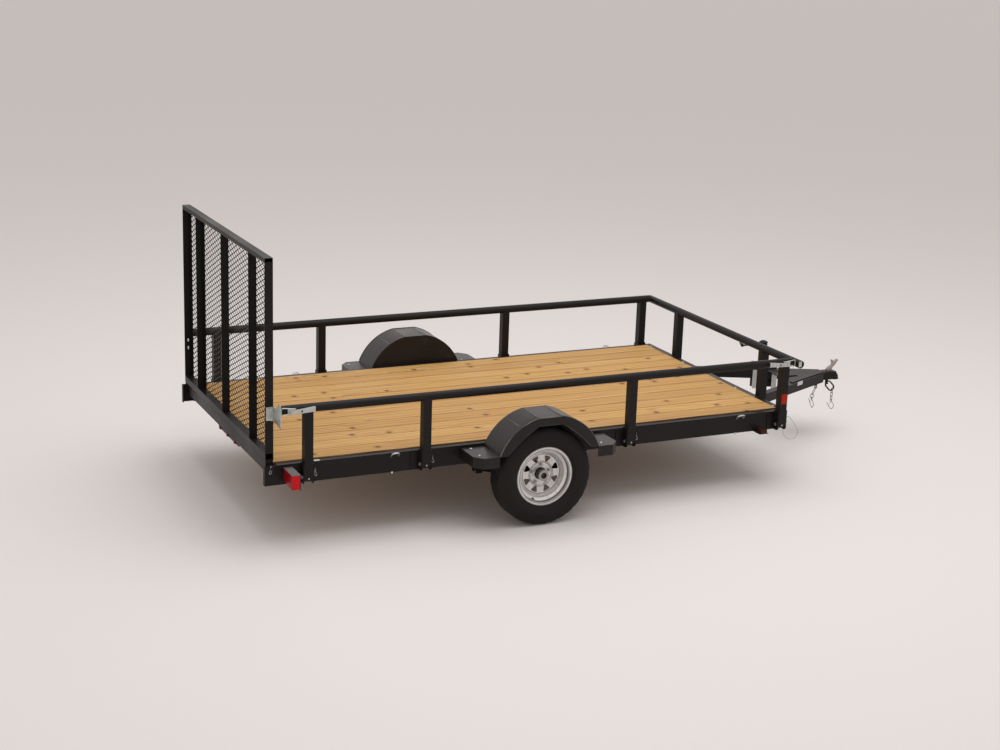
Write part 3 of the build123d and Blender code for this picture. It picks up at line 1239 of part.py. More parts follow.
def tie_loop(x, sign):
    """Bent-rod tie-down loop standing out and up from the rail's web."""
    lean = math.radians(TIE_LEAN)
    plane = Plane(origin=(x, sign * (HALF - TIE_SINK), FRAME_TOP - TIE_DROP), x_dir=(1, 0, 0),
                  z_dir=(0, -sign * math.sin(lean), math.cos(lean)))
    up = sign * TIE_REACH
    route = ((-TIE_HALF, 0), (-TIE_HALF, up), (TIE_HALF, up), (TIE_HALF, 0))
    line = plane * FilletPolyline(*route, radius=TIE_BEND)
    loop = sweep(Plane(origin=line @ 0, z_dir=line % 0) * Circle(TIE_WIRE), path=line)
    return loop - slab(x - POST, x + POST, 0, sign * (HALF + WELD_GAP), 0, FRAME_TOP + POST)


# ---- lanyard ------------------------------------------------------------------------------------
LANYARD_RADIUS = 1.2
LANYARD_START_X = POST_STATIONS[-1] + POST / 2 + EAR_GAP + EAR + LOCK_PIN_REACH
RAIL_END = BED_LENGTH
# Thin cord from the foremost right lock pin, down in a loop, back up to the rail's lip.
LANYARD = (
    (LANYARD_START_X, -GUARD_Y, LOCK_PIN_Z), (RAIL_END - 2, -GUARD_Y, LOCK_PIN_Z),
    (RAIL_END + 22, -922, 426), (RAIL_END + 54, -921, 388), (RAIL_END + 82, -917, 346),
    (RAIL_END + 75, -911, 308),
    (RAIL_END + 45, -904, 288), (RAIL_END + 7, -897, 299), (RAIL_END - 16, -886, 330),
    (RAIL_END - 16, -886, FRAME_BOTTOM - WELD_GAP),
)


def cord_radii(points):
    """Bend radius at each inner point, as large as its two runs allow."""
    corners = [Vector(*point) for point in points]
    radii = []
    for before, here, after in zip(corners, corners[1:], corners[2:]):
        turn = (here - before).get_angle(after - here)
        run = min((here - before).length, (after - here).length)
        radii.append(0.45 * run / math.tan(math.radians(turn / 2)))
    return radii


def lanyard():
    """Lock pin's cord."""
    radii = cord_radii(LANYARD)
    line = FilletPolyline(*LANYARD, radius=radii)
    tube = sweep(Plane(origin=line @ 0, z_dir=line % 0) * Circle(LANYARD_RADIUS), path=line)
    print("lanyard", round(line.length, 1), "mm, radii", [round(radius, 1) for radius in radii])
    expected = math.pi * LANYARD_RADIUS ** 2 * line.length
    print("volume", round(tube.volume, 1), "section x length", round(expected, 1))
    return tube


# ---- write every sub-part -----------------------------------------------------------------------
os.makedirs("parts", exist_ok=True)

save("joists", *[joist(x) for x in JOIST_STATIONS])
save("front_sill", front_sill())
save("rear_sill", rear_sill())
save("deck_boards", *[deck_board(n) for n in range(BOARD_COUNT)])
save("gusset_plate", gusset_plate())
save("coupler", coupler())
save("coupler_latch", coupler_latch())
save("chain_anchors", *chain_anchors())
save("chain_loop", chain_loop())
save("safety_chains", *near_chain(), *far_chain())
save("axle", axle())
save("front_guard", *front_guard())
save("gate_frame", gate_frame())
save("gate_mesh", *gate_mesh())
save("gate_pins", *gate_pins())
save("gate_catches", *[gate_catch(sign) for _, sign in SIDES])
save("front_catches", *[front_catch(sign) for _, sign in SIDES])
save("jack_mount", jack_mount())
save("jack_clamps", *jack_clamps())
save("jack_tube", jack_tube())
save("jack_crank", jack_crank())
save("jack_leg", jack_leg())
save("id_lamps", *id_lamps())
save("tail_lamps", *[tail_lamp(sign) for _, sign in SIDES])
save("marker_lamps", *[marker_lamp(sign) for _, sign in SIDES])
brackets = [make(sign) for make in (lamp_bracket, marker_bracket) for _, sign in SIDES]
save("lamp_brackets", id_lamp_bar(), *brackets)
save("tie_loops", *[tie_loop(x, sign) for x in TIE_LOOP_STATIONS for _, sign in SIDES])
save("leaf_springs", *[leaf_spring(sign) for _, sign in SIDES])
save("spring_hangers", *[hanger for _, sign in SIDES for hanger in spring_hangers(sign)])
save("spring_ties", *[spring_ties(sign) for _, sign in SIDES])
save("fender_steps", *[fender_step(sign, end) for _, sign in SIDES for end in (-1, 1)])
save("post_ears", *[ear for _, sign in SIDES for ear in post_ears(sign)])
save("pivot_pins", *[pin for _, sign in SIDES for pin in pivot_pins(sign)])
save("lock_pins", *[end for _, sign in SIDES for end in lock_pins(sign)])
save("lanyard", lanyard())
wheel_rim = rim()
wheel_tyre = tyre()
wheel_hub = hub()
for side, sign in SIDES:
    save("frame_rail_" + side, frame_rail(sign))
    save("tongue_beam_" + side, tongue_beam(sign))
    save("rim_" + side, place_wheel(wheel_rim, sign))
    save("tyre_" + side, place_wheel(wheel_tyre, sign))
    save("hub_" + side, place_wheel(wheel_hub, sign))
    save("fender_" + side, fender(sign))
    save("guard_rail_" + side, *guard_rail(sign))
    rear = toggle_latch(sign, GUARD_REAR_X + BAIL_END_GAP, 1)
    front = toggle_latch(sign, GUARD_FRONT_X - WELD_GAP, -1)
    save("latches_" + side, rear, front)
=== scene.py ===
import math

import bmesh
import bpy
from mathutils import Matrix, Vector


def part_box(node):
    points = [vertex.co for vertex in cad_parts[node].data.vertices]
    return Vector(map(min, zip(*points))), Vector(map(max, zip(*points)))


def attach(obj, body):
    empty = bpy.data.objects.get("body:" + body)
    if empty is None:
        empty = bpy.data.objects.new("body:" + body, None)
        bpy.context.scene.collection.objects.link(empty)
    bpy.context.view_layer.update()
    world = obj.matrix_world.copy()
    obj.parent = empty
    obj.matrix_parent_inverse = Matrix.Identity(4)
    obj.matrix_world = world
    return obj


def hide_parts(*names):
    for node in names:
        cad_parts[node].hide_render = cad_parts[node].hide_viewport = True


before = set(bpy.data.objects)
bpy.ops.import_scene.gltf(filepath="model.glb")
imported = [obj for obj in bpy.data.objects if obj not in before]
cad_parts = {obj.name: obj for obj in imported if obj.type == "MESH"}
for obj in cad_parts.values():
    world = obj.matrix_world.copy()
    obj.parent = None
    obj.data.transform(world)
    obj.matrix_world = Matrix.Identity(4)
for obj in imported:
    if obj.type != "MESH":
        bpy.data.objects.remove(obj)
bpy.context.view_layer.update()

bl_info = {
    "name": "Utility trailer dressing",
    "version": (1, 0, 0),
    "blender": (4, 5, 0),
    "location": "3D View > Sidebar > Trailer",
    "description": "Finishes, fittings and studio for a deck trailer with a mesh ramp gate",
    "category": "Object",
}


# ---- shader maths -------------------------------------------------------------------------------
class Value:
    """A shader socket that takes part in plain arithmetic."""

    def __init__(self, graph, socket):
        self.graph = graph
        self.socket = socket

    def _math(self, operation, *terms):
        return self.graph.node("ShaderNodeMath", {"operation": operation}, *terms)

    def __add__(self, other):
        return self._math("ADD", self, other)

    def __radd__(self, other):
        return self._math("ADD", other, self)

    def __sub__(self, other):
        return self._math("SUBTRACT", self, other)

    def __rsub__(self, other):
        return self._math("SUBTRACT", other, self)

    def __mul__(self, other):
        return self._math("MULTIPLY", self, other)

    def __rmul__(self, other):
        return self._math("MULTIPLY", other, self)

    def __truediv__(self, other):
        return self._math("DIVIDE", self, other)

    def __rtruediv__(self, other):
        return self._math("DIVIDE", other, self)

    def __pow__(self, other):
        return self._math("POWER", self, other)

    def __rpow__(self, other):
        return self._math("POWER", other, self)

    def __gt__(self, other):
        return self._math("GREATER_THAN", self, other)

    def __lt__(self, other):
        return self._math("LESS_THAN", self, other)

    def __abs__(self):
        return self._math("ABSOLUTE", self)

    def larger(self, other):
        return self._math("MAXIMUM", self, other)

    def wave(self):
        return self._math("SINE", self)

    def fraction(self):
        return self._math("FRACT", self)

    def floor(self):
        return self._math("FLOOR", self)


class Graph:
    """A node tree that is built from values."""

    def __init__(self, tree):
        self.tree = tree

    def node(self, kind, settings, *inputs, output=0, **named):
        """Add a node: its settings first, then its sockets by place or by name."""
        made = self.tree.nodes.new(kind)
        for key, value in settings.items():
            setattr(made, key, value)
        for place, value in list(enumerate(inputs)) + list(named.items()):
            key = place if isinstance(place, int) else place.replace("_", " ")
            self.link(made.inputs[key], value)
        return Value(self, made.outputs[output])

    def link(self, socket, value):
        """Join a value to a socket, or set it there; None leaves the socket alone."""
        if isinstance(value, Value):
            self.tree.links.new(value.socket, socket)
        elif value is not None:
            socket.default_value = value

    def place(self):
        """Object coordinates in metres."""
        return self.node("ShaderNodeTexCoord", {}, output="Object")

    def facing(self):
        """The way the surface faces."""
        return self.node("ShaderNodeTexCoord", {}, output="Normal")

    def axes(self, vector):
        """X, Y and Z of a vector."""
        first = self.node("ShaderNodeSeparateXYZ", {}, vector)
        return [Value(self, socket) for socket in first.socket.node.outputs]

    def stretch(self, vector, scale):
        """A vector scaled on each axis."""
        return self.node("ShaderNodeMapping", {}, Vector=vector, Scale=scale)

    def vector(self, x, y, z):
        """A vector from three values."""
        return self.node("ShaderNodeCombineXYZ", {}, x, y, z)

    def cells(self, vector, scale, output="Distance", axes="3D"):
        """Distance to the nearest cell's point, or with output Color the cell's own random colour."""
        settings = {"voronoi_dimensions": axes}
        return self.node("ShaderNodeTexVoronoi", settings, Vector=vector, Scale=scale, output=output)

    def lottery(self, value):
        """A random number from 0 to 1 for each whole value."""
        return self.node("ShaderNodeTexWhiteNoise", {"noise_dimensions": "1D"}, W=value)

    def noise(self, vector, scale, detail=3.0, roughness=0.5):
        """Fractal noise from 0 to 1."""
        return self.node("ShaderNodeTexNoise", {}, Vector=vector, Scale=scale, Detail=detail,
                         Roughness=roughness)

    def between(self, value, low, high, to_low=0.0, to_high=1.0):
        """A value mapped from one range to another, and clamped."""
        return self.node("ShaderNodeMapRange", {}, value, low, high, to_low, to_high)

    def mix(self, factor, a, b):
        """Two colours mixed."""
        number_and_vector_sockets = (None,) * 5
        a, b = (colour if isinstance(colour, Value) else (*colour, 1.0) for colour in (a, b))
        return self.node("ShaderNodeMix", {"data_type": "RGBA"}, factor, *number_and_vector_sockets, a, b,
                         output=2)

    def bump(self, height, distance, strength):
        """Surface relief of a given depth in metres."""
        return self.node("ShaderNodeBump", {}, Height=height, Distance=distance, Strength=strength)


# Keeps a finish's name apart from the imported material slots.
FINISH_PREFIX = "look_"


class Finish(Graph):
    """A material, built round its Principled shader."""

    def __init__(self, name):
        self.material = bpy.data.materials.new(FINISH_PREFIX + name)
        self.material.use_nodes = True
        super().__init__(self.material.node_tree)

    def surface(self, **sockets):
        """Set or join the Principled shader's own sockets."""
        shader = self.tree.nodes["Principled BSDF"]
        for name, value in sockets.items():
            self.link(shader.inputs[name.replace("_", " ")], value)
        return self.material


def finish_of(name):
    """A finish made earlier."""
    return bpy.data.materials[FINISH_PREFIX + name]


# ---- sizes shared by the pieces -----------------------------------------------------------------
# In millimetres: x ahead of the rails' rear end, y left of the middle, z above the floor.
MM = 0.001
REAR_END = -2.2564
AXLE = (1664.0, 303.0)
POSTS = (242.0, 959.0, 2313.0, 3410.0)
EAR_FACE = 31.4
GUARD_LINE = 921.4
RAIL_FACE = 890.0
LOCK_PIN_Z = 455.0
SIDES = {"left": 1, "right": -1}
ALONG, ACROSS, UPWARD = Vector((1, 0, 0)), Vector((0, 1, 0)), Vector((0, 0, 1))


def at(x, y, z):
    """A point in metres, from millimetres ahead, left and up."""
    return Vector((x * MM + REAR_END, y * MM, z * MM))


# ---- finishes -----------------------------------------------------------------------------------
# Specular levels: low ones keep black surfaces black in a white room.
FRAME_SHEEN = 0.16
FENDER_SHEEN = 0.20
WOOD_SHEEN = 0.3
RUBBER_SHEEN = 0.14
LENS_SHEEN = 0.12
LENS_COAT = 0.04
BRACKET_SHEEN = 0.25
PLASTIC_SHEEN = 0.3

FRAME_DUST = (0.13, 0.112, 0.10)
FENDER_SCUFF = (0.055, 0.047, 0.044)
# The rolled lips' pale tone is a painted highlight.
LIP_HIGHLIGHT = (0.15, 0.135, 0.13)
LIP_PAINTED = (0.030, 0.026, 0.025)


def satin_black(colours):
    """Black enamel on the frame, with a dusty bloom and fine orange peel."""
    g = Finish("satin_black")
    place = g.place()
    peel = g.noise(place, 420.0, 2.0)
    bloom = g.noise(place, 2.3, 5.0)
    specks = g.between(g.noise(place, 95.0, 2.0), 0.68, 0.78)
    colour = g.mix(bloom, colours.frame_dark, colours.frame_pale)
    colour = g.mix(specks * 0.08, colour, FRAME_DUST)
    return g.surface(Base_Color=colour, Roughness=g.between(bloom, 0.3, 0.7, 0.34, 0.48),
                     Specular_IOR_Level=FRAME_SHEEN, Normal=g.bump(peel, 0.0005, 0.22))


def charcoal_paint(colours):
    """Charcoal enamel on the fenders, scuffed and dusty."""
    g = Finish("charcoal_paint")
    place = g.place()
    peel = g.noise(place, 260.0, 2.0)
    bloom = g.noise(place, 4.0, 5.0)
    streaks = g.noise(g.stretch(place, (4.0, 30.0, 4.0)), 3.0, 3.0)
    colour = g.mix(bloom, colours.fender_dark, colours.fender_pale)
    colour = g.mix(g.between(streaks, 0.62, 0.8) * 0.30, colour, FENDER_SCUFF)
    return g.surface(Base_Color=colour, Roughness=g.between(bloom, 0.3, 0.7, 0.24, 0.36),
                     Specular_IOR_Level=FENDER_SHEEN, Normal=g.bump(peel, 0.0006, 0.25))


def polished_lip():
    """Charcoal enamel along rolled edges, paler in patches as a painted highlight, and glossier there."""
    g = Finish("polished_lip")
    # Noise that lays the painted highlight in patches along the lips.
    patchiness = g.noise(g.place(), 9.0, 4.0)
    colour = g.mix(g.between(patchiness, 0.35, 0.65), LIP_PAINTED, LIP_HIGHLIGHT)
    return g.surface(Base_Color=colour, Roughness=g.between(patchiness, 0.3, 0.7, 0.22, 0.14), Metallic=0.4)


BOARDS = 12
BOARD_GAP = 1.0
# A knot's cell: its length in metres, its share of a board's width, and the share of cells left empty.
KNOT_SPACING = 0.21
BOARD_CELLS = 0.71
CELLS_EMPTY = 0.58
KNOT_CORE = (0.075, 0.030, 0.011)
KNOT_HALO = (0.22, 0.090, 0.025)
RING_LINE = (0.285, 0.118, 0.030)
FIBRE_LINE = (0.27, 0.120, 0.034)
SAPWOOD = (0.72, 0.50, 0.335)
WALKED_ON = (0.40, 0.30, 0.20)
BOARD_JOINT = (0.045, 0.020, 0.007)


def pine_knots(g, run, inside, board, fibre):
    """Knots as masks: how the rings bend round them, their halo and their ragged core."""
    place = g.vector(run / KNOT_SPACING, inside * BOARD_CELLS + board * 9.0, 0.0)
    gap = g.cells(place, 1.0, axes="2D")
    picked = g.axes(g.cells(place, 1.0, output="Color", axes="2D"))[0] > CELLS_EMPTY
    bend = g.between(gap, 0.0, 0.42, 1.0, 0.0) * picked
    halo = g.between(gap, 0.05, 0.17, 1.0, 0.0) * picked
    ragged = gap + (fibre - 0.5) * 0.13
    core = g.between(ragged, 0.040, 0.085, 1.0, 0.0) * picked
    return bend, halo, core


def treated_pine(colours):
    """Pine boards: each its own tone and grain, brown knots, soft dark edges."""
    g = Finish("treated_pine")
    low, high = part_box("deck_boards")
    pitch = (high[1] - low[1] + BOARD_GAP * MM) / BOARDS
    x, y, z = g.axes(g.place())
    strip = (y - low[1]) / pitch
    board = strip.floor()
    inside = strip.fraction()
    chance = g.lottery(board + 3.0)
    second = g.lottery(board * 7.0 + 11.0)
    run = x + chance * 40.0

    fibre = g.noise(g.vector(run * 5.0, y * 420.0, z * 60.0), 1.0, 4.0, 0.6)
    bend, halo, core = pine_knots(g, run, inside, board, fibre)
    drift = g.noise(g.vector(run * 0.9, y * 9.0, chance * 10.0), 1.0, 2.0)
    rings = (inside * 26.0 + drift * 20.0 + bend * 5.0 + second * 6.0).wave() * 0.5 + 0.5
    patch = g.noise(g.vector(run * 1.4, y * 22.0, second * 9.0), 1.0, 3.0)
    blush = g.between(g.noise(g.vector(run * 1.1, y * 46.0, second * 5.0), 1.0, 3.0), 0.56, 0.74)
    scuff = g.between(g.noise(g.vector(x * 2.0, y * 3.0, 4.0), 1.0, 5.0, 0.65), 0.55, 0.80)
    patchiness = g.between(g.noise(g.vector(x * 3.0, board * 5.0, 0.0), 1.0, 3.0), 0.35, 0.6, 0.45, 1.0)
    joint = g.between(abs(inside - 0.5), 0.462, 0.490) * patchiness

    pale = g.mix(patch, colours.deck_pale, colours.deck_warm)
    tone = g.mix(0.60, pale, g.mix(g.between(chance, 0.15, 0.85), pale, colours.deck_dark))
    tone = g.mix(blush * 0.42, tone, SAPWOOD)
    tone = g.mix(g.between(rings, 0.62, 0.98) * 0.52, tone, RING_LINE)
    tone = g.mix(g.between(fibre, 0.30, 0.52, 0.42, 0.0), tone, FIBRE_LINE)
    tone = g.mix(halo * 0.60, tone, KNOT_HALO)
    tone = g.mix(core * 0.80, tone, KNOT_CORE)
    tone = g.mix(scuff * 0.28, tone, WALKED_ON)
    tone = g.mix(joint * 0.88, tone, BOARD_JOINT)
    height = fibre * 0.5 + rings * 0.35 - core * 0.6
    return g.surface(Base_Color=tone, Roughness=g.between(rings, 0.0, 1.0, 0.74, 0.64),
                     Specular_IOR_Level=WOOD_SHEEN, Normal=g.bump(height, 0.0012, 0.35))


def zinc_plate(name, dull, bright):
    """Zinc plate, faintly blotched."""
    g = Finish(name)
    place = g.place()
    blotch = g.noise(place, 55.0, 4.0)
    scratch = g.noise(g.stretch(place, (9.0, 60.0, 60.0)), 12.0, 2.0)
    return g.surface(Base_Color=g.mix(blotch, dull, bright),
                     Metallic=g.between(blotch, 0.2, 0.8, 0.75, 0.95),
                     Roughness=g.between(blotch, 0.3, 0.7, 0.30, 0.46), Normal=g.bump(scratch, 0.0003, 0.2))


# Radii on the wheels, in millimetres.
RIM_RIDGES = (79.0, 122.0, 160.0, 166.5, 180.0)
HUB_NOSE = (19.0, 36.0)
NUT_RING = (44.0, 72.0)
TREAD_EDGE = (284.0, 300.0)
# How far out from the trailer's middle the bare nose of a hub begins.
HUB_NOSE_FROM = 1056.0
RIM_CLOUD = (0.62, 0.60, 0.59)
RIM_GRIME = (0.24, 0.22, 0.20)
RIDGE_SHADE = (0.070, 0.064, 0.061)
BARE_STEEL = (0.36, 0.345, 0.34)
PLATED_NUTS = (0.46, 0.45, 0.445)
TREAD_DUST = (0.062, 0.053, 0.047)


def wheel_reach(g, place):
    """Distance from the wheels' axis, in metres."""
    x, _, z = g.axes(place)
    centre = at(AXLE[0], 0.0, AXLE[1])
    return ((x - centre.x) ** 2.0 + (z - centre.z) ** 2.0) ** 0.5


def ring_mask(reach, radii):
    """One between two radii in millimetres, and nothing outside them."""
    inner, outer = radii
    return (reach < outer * MM) * (reach > inner * MM)


def galvanised(colours):
    """Galvanised wheel steel with soft spangle and shaded ridges."""
    g = Finish("galvanised")
    place = g.place()
    spangle = g.axes(g.cells(place, 95.0, output="Color"))[0]
    cloud = g.noise(place, 9.0, 4.0)
    grime = g.between(g.noise(place, 26.0, 5.0, 0.65), 0.52, 0.74)
    colour = g.mix(spangle, colours.rim_dull, colours.rim_bright)
    colour = g.mix(cloud * 0.5, colour, RIM_CLOUD)
    colour = g.mix(grime * 0.30, colour, RIM_GRIME)
    reach = wheel_reach(g, place)
    for ridge in RIM_RIDGES:
        line = g.between(abs(reach - ridge * MM), 0.0006, 0.0030, 1.0, 0.0)
        colour = g.mix(line * 0.85, colour, RIDGE_SHADE)
    return g.surface(Base_Color=colour, Metallic=g.between(cloud, 0.2, 0.8, 0.62, 0.82),
                     Roughness=g.between(spangle, 0.0, 1.0, 0.30, 0.44), Normal=g.bump(cloud, 0.0006, 0.2))


def oily_steel(colours):
    """Black, oily hub steel with a bare turned nose and plated nuts."""
    g = Finish("oily_steel")
    place = g.place()
    y = g.axes(place)[1]
    reach = wheel_reach(g, place)
    nose = ring_mask(reach, HUB_NOSE) * (abs(y) > HUB_NOSE_FROM * MM)
    nuts = ring_mask(reach, NUT_RING)
    smear = g.noise(place, 60.0, 4.0)
    colour = g.mix(smear, colours.hub_dark, colours.hub_pale)
    colour = g.mix(nose * 0.9, colour, BARE_STEEL)
    colour = g.mix(nuts * 0.9, colour, PLATED_NUTS)
    return g.surface(Base_Color=colour, Metallic=(nose + nuts) * 0.5 + 0.3,
                     Roughness=g.between(smear, 0.3, 0.7, 0.28, 0.5), Normal=g.bump(smear, 0.0006, 0.3))


def tyre_rubber(colours):
    """Black rubber: dull, dusty in the tread, with fine moulded rings on the wall."""
    g = Finish("tyre_rubber")
    place = g.place()
    reach = wheel_reach(g, place)
    dust = g.noise(place, 8.0, 5.0, 0.6)
    tread = g.between(reach, TREAD_EDGE[0] * MM, TREAD_EDGE[1] * MM)
    colour = g.mix(dust, colours.rubber_dark, colours.rubber_pale)
    colour = g.mix(g.between(dust, 0.42, 0.72) * tread * 0.35, colour, TREAD_DUST)
    rings = g.between((reach * 2600.0).wave(), 0.2, 0.9)
    pebble = g.noise(place, 520.0, 2.0)
    return g.surface(Base_Color=colour, Roughness=g.between(dust, 0.3, 0.7, 0.58, 0.76),
                     Specular_IOR_Level=RUBBER_SHEEN,
                     Normal=g.bump(rings * 0.35 + pebble * 0.65, 0.0005, 0.30))


PRISMS_PER_METRE = 900.0
LENS_SHADOW = (0.02, 0.0, 0.001)
TAIL_END_SHADE = 0.42


def lens(name, deep, bright, end_shade=1.0):
    """Moulded lamp lens with small prisms behind a clear skin; its ends may be darker than its sides."""
    g = Finish(name)
    x, y, z = g.axes(g.place())
    prisms = ((x + y) * PRISMS_PER_METRE).wave() * ((z + y * 0.5) * PRISMS_PER_METRE).wave()
    glow = g.noise(g.place(), 30.0, 2.0)
    colour = g.mix(g.between(prisms, -0.4, 0.9), deep, bright)
    colour = g.mix(glow * 0.3, colour, deep)
    ends = abs(g.axes(g.facing())[0]) > 0.6
    colour = g.mix(ends * (1.0 - end_shade), colour, LENS_SHADOW)
    return g.surface(Base_Color=colour, Roughness=g.between(glow, 0.3, 0.7, 0.20, 0.32),
                     Specular_IOR_Level=LENS_SHEEN, Coat_Weight=LENS_COAT,
                     Normal=g.bump(prisms, 0.0006, 0.15))


# The tail lamps' covers begin this far out and this high, in millimetres.
COVER_FROM = (896.0, 468.5)
COVER_GREY = (0.105, 0.090, 0.087)


def bracket_steel(colours):
    """Lamp brackets: black, with the tail lamps' covers in grey."""
    g = Finish("bracket_steel")
    place = g.place()
    _, y, z = g.axes(place)
    bloom = g.noise(place, 14.0, 4.0)
    cover = (abs(y) > COVER_FROM[0] * MM) * (z > COVER_FROM[1] * MM)
    colour = g.mix(bloom, colours.bracket_dark, colours.bracket_pale)
    colour = g.mix(cover, colour, COVER_GREY)
    return g.surface(Base_Color=colour, Roughness=g.between(bloom, 0.3, 0.7, 0.36, 0.5),
                     Specular_IOR_Level=BRACKET_SHEEN, Normal=g.bump(bloom, 0.0004, 0.3))


def plain_plastic(name, colour, pale, roughness):
    """Moulded plastic, vinyl or braid, softly mottled."""
    g = Finish(name)
    place = g.place()
    mottle = g.noise(place, 40.0, 4.0)
    fine = g.noise(place, 700.0, 2.0)
    return g.surface(Base_Color=g.mix(mottle, colour, pale),
                     Roughness=g.between(mottle, 0.3, 0.7, roughness, roughness + 0.12),
                     Specular_IOR_Level=PLASTIC_SHEEN, Normal=g.bump(fine, 0.0003, 0.3))


# ---- mesh tools ---------------------------------------------------------------------------------
SMOOTH_ANGLE = math.radians(35.0)


def circle(centre, across, up, radius, count):
    """Points round a circle, its radius in millimetres."""
    turns = [2 * math.pi * k / count for k in range(count)]
    return [centre + (across * math.cos(t) + up * math.sin(t)) * radius * MM for t in turns]


def bridge(bm, rings, closed=False):
    """Faces between rings of as many points each."""
    pairs = list(zip(rings, rings[1:]))
    if closed:
        pairs.append((rings[-1], rings[0]))
    for a, b in pairs:
        for k in range(len(a)):
            n = (k + 1) % len(a)
            bm.faces.new((a[k], a[n], b[n], b[k]))


def turn(bm, place, axis, profile, segments):
    """A turned form: rings of (radius, distance along the axis), in millimetres."""
    spin = UPWARD.rotation_difference(Vector(axis))
    rings = []
    for radius, along in profile:
        ring = []
        for k in range(segments):
            angle = 2 * math.pi * (k + 0.5) / segments
            point = Vector((radius * math.cos(angle), radius * math.sin(angle), along)) * MM
            ring.append(bm.verts.new(place + spin @ point))
        rings.append(ring)
    bridge(bm, rings)
    bm.faces.new(rings[0][::-1])
    bm.faces.new(rings[-1])


def wire(bm, points, radius, sides=8, closed=False):
    """Round wire along points, its radius in millimetres."""
    count = len(points)
    side = None
    rings = []
    for k, point in enumerate(points):
        if closed:
            ahead, behind = points[(k + 1) % count], points[k - 1]
        else:
            ahead, behind = points[min(k + 1, count - 1)], points[max(k - 1, 0)]
        heading = (ahead - behind).normalized()
        if side is None:
            side = heading.orthogonal().normalized()
        side = (side - heading * side.dot(heading)).normalized()
        rings.append([bm.verts.new(p) for p in circle(point, side, heading.cross(side), radius, sides)])
    bridge(bm, rings, closed)
    if not closed:
        bm.faces.new(rings[0][::-1])
        bm.faces.new(rings[-1])


def rounded_path(points, steps):
    """A smooth path through points."""
    path = []
    last = len(points) - 1
    for k in range(last):
        a, b, c, d = (points[min(max(k + n, 0), last)] for n in (-1, 0, 1, 2))
        for n in range(steps):
            t = n / steps
            path.append(0.5 * ((2 * b) + (c - a) * t + (2 * a - 5 * b + 4 * c - d) * t * t
                               + (3 * b - a - 3 * c + d) * t ** 3))
    path.append(points[-1])
    return path


def block(bm, low, high, bevel):
    """A box between two corners, its edges rounded by bevel millimetres."""
    made = bmesh.ops.create_cube(bm, size=1.0)["verts"]
    for vert in made:
        vert.co = Vector([low[i] if vert.co[i] < 0 else high[i] for i in range(3)])
    edges = list({edge for vert in made for edge in vert.link_edges})
    bmesh.ops.bevel(bm, geom=edges, offset=bevel * MM, segments=2, affect="EDGES", profile=0.5)


def side_block(bm, sign, low, high, bevel):
    """A block on one side of the trailer, from its corners on the left in millimetres."""
    y0, y1 = sorted((sign * low[1], sign * high[1]))
    block(bm, at(low[0], y0, low[2]), at(high[0], y1, high[2]), bevel)


def settle(bm):
    """Put faces in the order of their vertices; bevel and solidify leave them in a new one each run."""
    bm.verts.index_update()
    count = len(bm.verts)

    def rank(face):
        first, second, third = sorted(vert.index for vert in face.verts)[:3]
        return (first * count + second) * count + third

    bm.faces.sort(key=rank)


def piece(name, build, finish, body):
    """A finished object riding on a body; build fills its mesh."""
    bm = bmesh.new()
    build(bm)
    bmesh.ops.recalc_face_normals(bm, faces=bm.faces)
    settle(bm)
    mesh = bpy.data.meshes.new(name)
    bm.to_mesh(mesh)
    bm.free()
    mesh.materials.append(finish_of(finish))
    mesh.shade_smooth()
    mesh.set_sharp_from_angle(angle=SMOOTH_ANGLE)
    made = bpy.data.objects.new(name, mesh)
    bpy.context.scene.collection.objects.link(made)
    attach(made, body)
    return made


# ---- tyres --------------------------------------------------------------------------------------
TYRE_LINE = 1012.0
TREAD_STEPS = 120
BLOCK_STEPS = 4
ZIGZAG = 2.2
SHOULDER_CUT = 3.2
# Half of the section: (across from the middle, radius, how it varies round the tyre). A zig point
# shifts sideways from block to block, and a cut point drops in the slots of the shoulder.
TYRE_SECTION = (
    (0.0, 302.9, ""), (9.0, 302.9, "zig"), (10.2, 296.5, "zig"), (15.0, 296.5, "zig"), (16.2, 302.9, "zig"),
    (32.0, 302.8, "zig"), (33.2, 296.2, "zig"), (38.0, 296.0, "zig"), (39.2, 302.6, "zig"), (50.0, 301.6, ""),
    (59.0, 299.0, "cut"), (66.0, 296.0, "cut"), (70.5, 292.6, "cut"), (74.5, 287.0, "cut"), (78.0, 280.0, ""),
    (81.0, 272.0, ""), (83.6, 262.0, ""), (85.4, 252.0, ""), (86.6, 240.0, ""), (87.6, 239.0, ""),
    (87.6, 236.0, ""), (86.8, 235.0, ""), (86.6, 226.0, ""), (84.4, 215.0, ""), (81.0, 206.0, ""),
    (80.6, 202.0, ""), (77.0, 197.5, ""), (72.0, 193.0, ""), (68.6, 190.5, ""), (66.8, 187.0, ""),
    (62.5, 184.6, ""), (60.9, 182.4, ""), (60.7, 168.0, ""),
)


def tyre(bm, centre):
    """Ribbed trailer tyre round a wheel's centre."""
    section = [(-across, radius, vary) for across, radius, vary in TYRE_SECTION[:0:-1]] + list(TYRE_SECTION)
    rings = []
    for step in range(TREAD_STEPS):
        angle = 2 * math.pi * step / TREAD_STEPS
        ring = []
        for across, radius, vary in section:
            if vary == "zig":
                across += ZIGZAG * (1 if step % BLOCK_STEPS < BLOCK_STEPS / 2 else -1)
            if vary == "cut" and step % BLOCK_STEPS == 0:
                radius -= SHOULDER_CUT
            offset = Vector((radius * math.cos(angle), across, radius * math.sin(angle)))
            ring.append(bm.verts.new(centre + offset * MM))
        rings.append(ring)
    bridge(bm, rings, closed=True)


# ---- expanded mesh ------------------------------------------------------------------------------
DIAMOND_WIDTH = 74.2
DIAMOND_HEIGHT = 31.7
STRAND = 5.0
# How much more of a diamond's width and height the slanted strands take than half a strand.
STRAND_SPREAD = (2.6, 1.25)
MESH_TILT = 1.1
MESH_EDGE = 1.0
MESH_THICKNESS = 1.5


